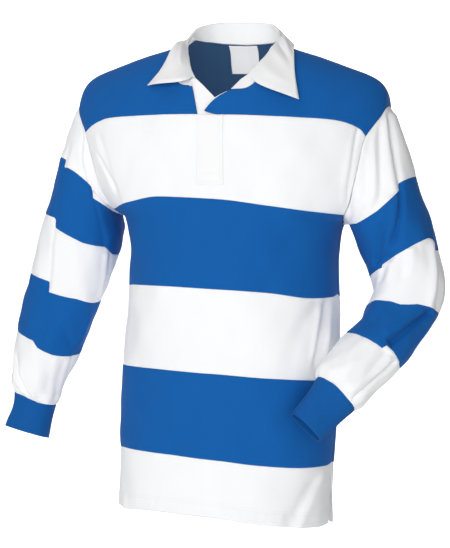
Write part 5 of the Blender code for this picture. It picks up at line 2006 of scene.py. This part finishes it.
# ---------------------------------------------------------------- stitching
@dataclass
class Sewing:
    """All the rows of stitches that show."""

    form: BodyForm
    collar: Panel
    band: Panel
    hem_rows: tuple[float, ...] = (0.0190, 0.0235)
    hem_reach: float = 0.985
    hem_radii: tuple[float, float] = (0.17, 0.115)
    sunk: float = 0.0003
    collar_inset: float = 0.0055
    collar_start: float = 0.35    # part of the way down the fall's ends
    band_inset: int = 3           # columns and rows of the band from its edges
    band_foot: int = 7            # rows between the two seams across the foot

    def hem(self, face: Face) -> Stitching:
        """Two rows along the hem.

        Args:
            face: front or back.

        Returns:
            The stitches.
        """
        rows = Stitching(f"{face.name.lower()}_hem_stitches")
        s, (wide, deep) = np.linspace(-self.hem_reach, self.hem_reach, 240), self.hem_radii
        for high in self.hem_rows:
            z = self.form.seam_z(5, s) + high
            x = self.form.section_x(s, z, face)
            line = self.form.surface(face, x, z, -self.sunk)
            line[..., 0] += self.form.flare(face, s, z)
            rows.run(line, unit(np.stack([x / wide**2, line[:, 1] / deep**2, 0 * x], -1)))
        return rows

    def collar_edge(self) -> Stitching:
        """One row round the free edges of the collar.

        Returns:
            The stitches.
        """
        rows, grid = Stitching("collar_stitches"), self.collar.grid
        down, across = way_along(grid[:, 0]), way_along(grid[-3])
        inset = self.collar_inset
        start, row = np.searchsorted(down, (down[-1] * self.collar_start, down[-1] - inset))
        first, last = np.searchsorted(across, (inset, across[-1] - inset)) - (0, 1)
        rows.trace(self.collar, [(k, first) for k in range(start, row)]
                   + [(row, k) for k in range(first, last)]
                   + [(k, last) for k in range(row, start - 1, -1)])
        return rows

    def placket_box(self) -> Stitching:
        """Rows down both edges of the band and twice across its foot.

        Returns:
            The stitches.
        """
        rows, (high, wide) = Stitching("placket_stitches"), self.band.grid.shape[:2]
        left, right, low = self.band_inset, wide - self.band_inset - 1, high - self.band_inset - 1
        rows.trace(self.band, [(k, left) for k in range(1, low)]
                   + [(low, k) for k in range(left, right)]
                   + [(k, right) for k in range(low, 0, -1)])
        rows.trace(self.band, [(low - self.band_foot, k) for k in range(left, right + 1)])
        return rows

    def build(self, wardrobe: Wardrobe) -> None:
        """Make every row of stitches and report it.

        Args:
            wardrobe: the finishes.
        """
        for rows in (*map(self.hem, Face), self.collar_edge(), self.placket_box()):
            item = rows.build(wardrobe["white_thread"])
            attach(item, "root")
            LOG.info("%s: %d faces", item.name, len(item.data.polygons))


# ---------------------------------------------------------------- studio
@dataclass
class Studio:
    """Pale floor and backdrop, soft lights and the camera."""

    azimuth: float = 16.0
    roll: float = 2.2
    distance: float = 2.45
    lens: float = 102.6
    sensor: float = 36.0
    target_across: float = -0.0016
    target_z: float = -0.358
    floor_z: float = -1.35
    sweep_from: float = 4.8
    sweep_bend: float = 0.8
    sweep_size: float = 6.0
    air: float = 0.12
    # name, place, side in metres, watts, the point that it faces
    lamps: tuple[tuple, ...] = (
        ("key_light", (0.05, -3.0, -0.10), 2.8, 60.0, (0.0, 0.0, -0.36)),
        ("right_fill_light", (2.1, -2.1, 0.0), 1.8, 14.0, (0.0, 0.0, -0.36)),
        ("left_fill_light", (-2.0, -1.9, 1.0), 1.8, 10.0, (0.0, 0.0, -0.25)),
        ("top_light", (-0.8, -0.45, 2.1), 1.6, 15.0, (-0.05, -0.02, -0.05)),
        ("neck_light", (0.0, -0.045, -0.170), 0.09, 0.16, (0.0, 0.055, 0.020)),
        ("backdrop_light", (-1.0, 3.4, 2.4), 3.6, 290.0, (-1.5, 5.3, -0.6)),
        ("back_light", (0.5, 3.2, 0.5), 1.8, 16.0, (0.0, 0.0, -0.36)),
    )

    @property
    def axes(self) -> tuple[Vector, Vector, Vector]:
        """Level directions to the right of the camera and ahead of it, and upwards."""
        c, s = math.cos(math.radians(self.azimuth)), math.sin(math.radians(self.azimuth))
        return Vector((c, s, 0.0)), Vector((-s, c, 0.0)), Vector((0.0, 0.0, 1.0))

    def floor(self, wardrobe: Wardrobe) -> None:
        """A sweep: floor that curves up into a backdrop behind the shirt.

        Args:
            wardrobe: the finishes.
        """
        right, ahead, rise = self.axes
        near, bend, size = self.sweep_from, self.sweep_bend, self.sweep_size
        profile = [(-size, 0.0), (0.0, 0.0), (near, 0.0)]
        profile += [(near + bend * math.sin(a), bend - bend * math.cos(a))
                    for a in np.linspace(0, math.pi / 2, 13)[1:]]
        profile += [(near + bend, size)]
        verts = [right * side + ahead * y + rise * (self.floor_z + z)
                 for y, z in profile for side in (-size, size)]
        faces = [(2 * k, 2 * k + 1, 2 * k + 3, 2 * k + 2) for k in range(len(profile) - 1)]
        mesh = bpy.data.meshes.new("studio_sweep")
        mesh.from_pydata(verts, [], faces)
        mesh.polygons.foreach_set("use_smooth", [True] * len(faces))
        mesh.materials.append(wardrobe["studio_white"])
        linked("studio_sweep", mesh)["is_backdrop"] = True

    def lights(self) -> None:
        """Square soft lights and pale surroundings."""
        for name, place, side, power, looks_at in self.lamps:
            data = bpy.data.lights.new(name, "AREA")
            data.shape, data.size, data.energy = "SQUARE", side, power
            item = linked(name, data)
            item.location = place
            item.rotation_mode = "QUATERNION"
            item.rotation_quaternion = (Vector(looks_at) - Vector(place)).to_track_quat("-Z", "Y")
            item.visible_camera = False
        world = bpy.data.worlds.new("studio_air")
        world.use_nodes = True
        feed(world.node_tree.nodes["Background"], {0: (1.0, 1.0, 1.0, 1.0), 1: self.air})
        bpy.context.scene.world = world
        bpy.context.scene.view_settings.view_transform = "Standard"

    def camera(self) -> None:
        """Level camera a little to the wearer's left of the front, turned by its roll."""
        right, ahead, rise = self.axes
        c, s = math.cos(math.radians(self.roll)), math.sin(math.radians(self.roll))
        data = bpy.data.cameras.new("front_camera")
        data.lens, data.sensor_width, data.sensor_fit = self.lens, self.sensor, "AUTO"
        data.clip_start, data.clip_end = 0.05, 60.0
        item = linked("front_camera", data)
        axes = Matrix((right * c + rise * s, rise * c - right * s, -ahead)).transposed().to_4x4()
        axes.translation = right * self.target_across + rise * self.target_z - ahead * self.distance
        item.matrix_world = axes
        bpy.context.scene.camera = item

    def build(self, wardrobe: Wardrobe) -> None:
        """Set up the studio.

        Args:
            wardrobe: the finishes.
        """
        self.camera()
        self.floor(wardrobe)
        self.lights()


def main() -> None:
    """Build the shirt piece by piece in its studio."""
    logging.basicConfig(level=logging.INFO, format="%(message)s")
    wardrobe = Wardrobe()
    Studio().build(wardrobe)
    form = BodyForm()
    panels = BodyPanels(form)
    panels.lay_out()
    panels.build(wardrobe)
    for sleeve in (LEFT_SLEEVE, RIGHT_SLEEVE):
        sleeve.build(form, wardrobe)
    fall = Collar(panels).build(wardrobe)
    band = Placket(panels).build(wardrobe)
    NeckLabel(panels).build(wardrobe)
    Sewing(form, fall, band).build(wardrobe)
    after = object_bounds()
    LOG.info("visual box %s to %s", tuple(after[0]), tuple(after[1]))


if __name__ == "__main__":
    main()
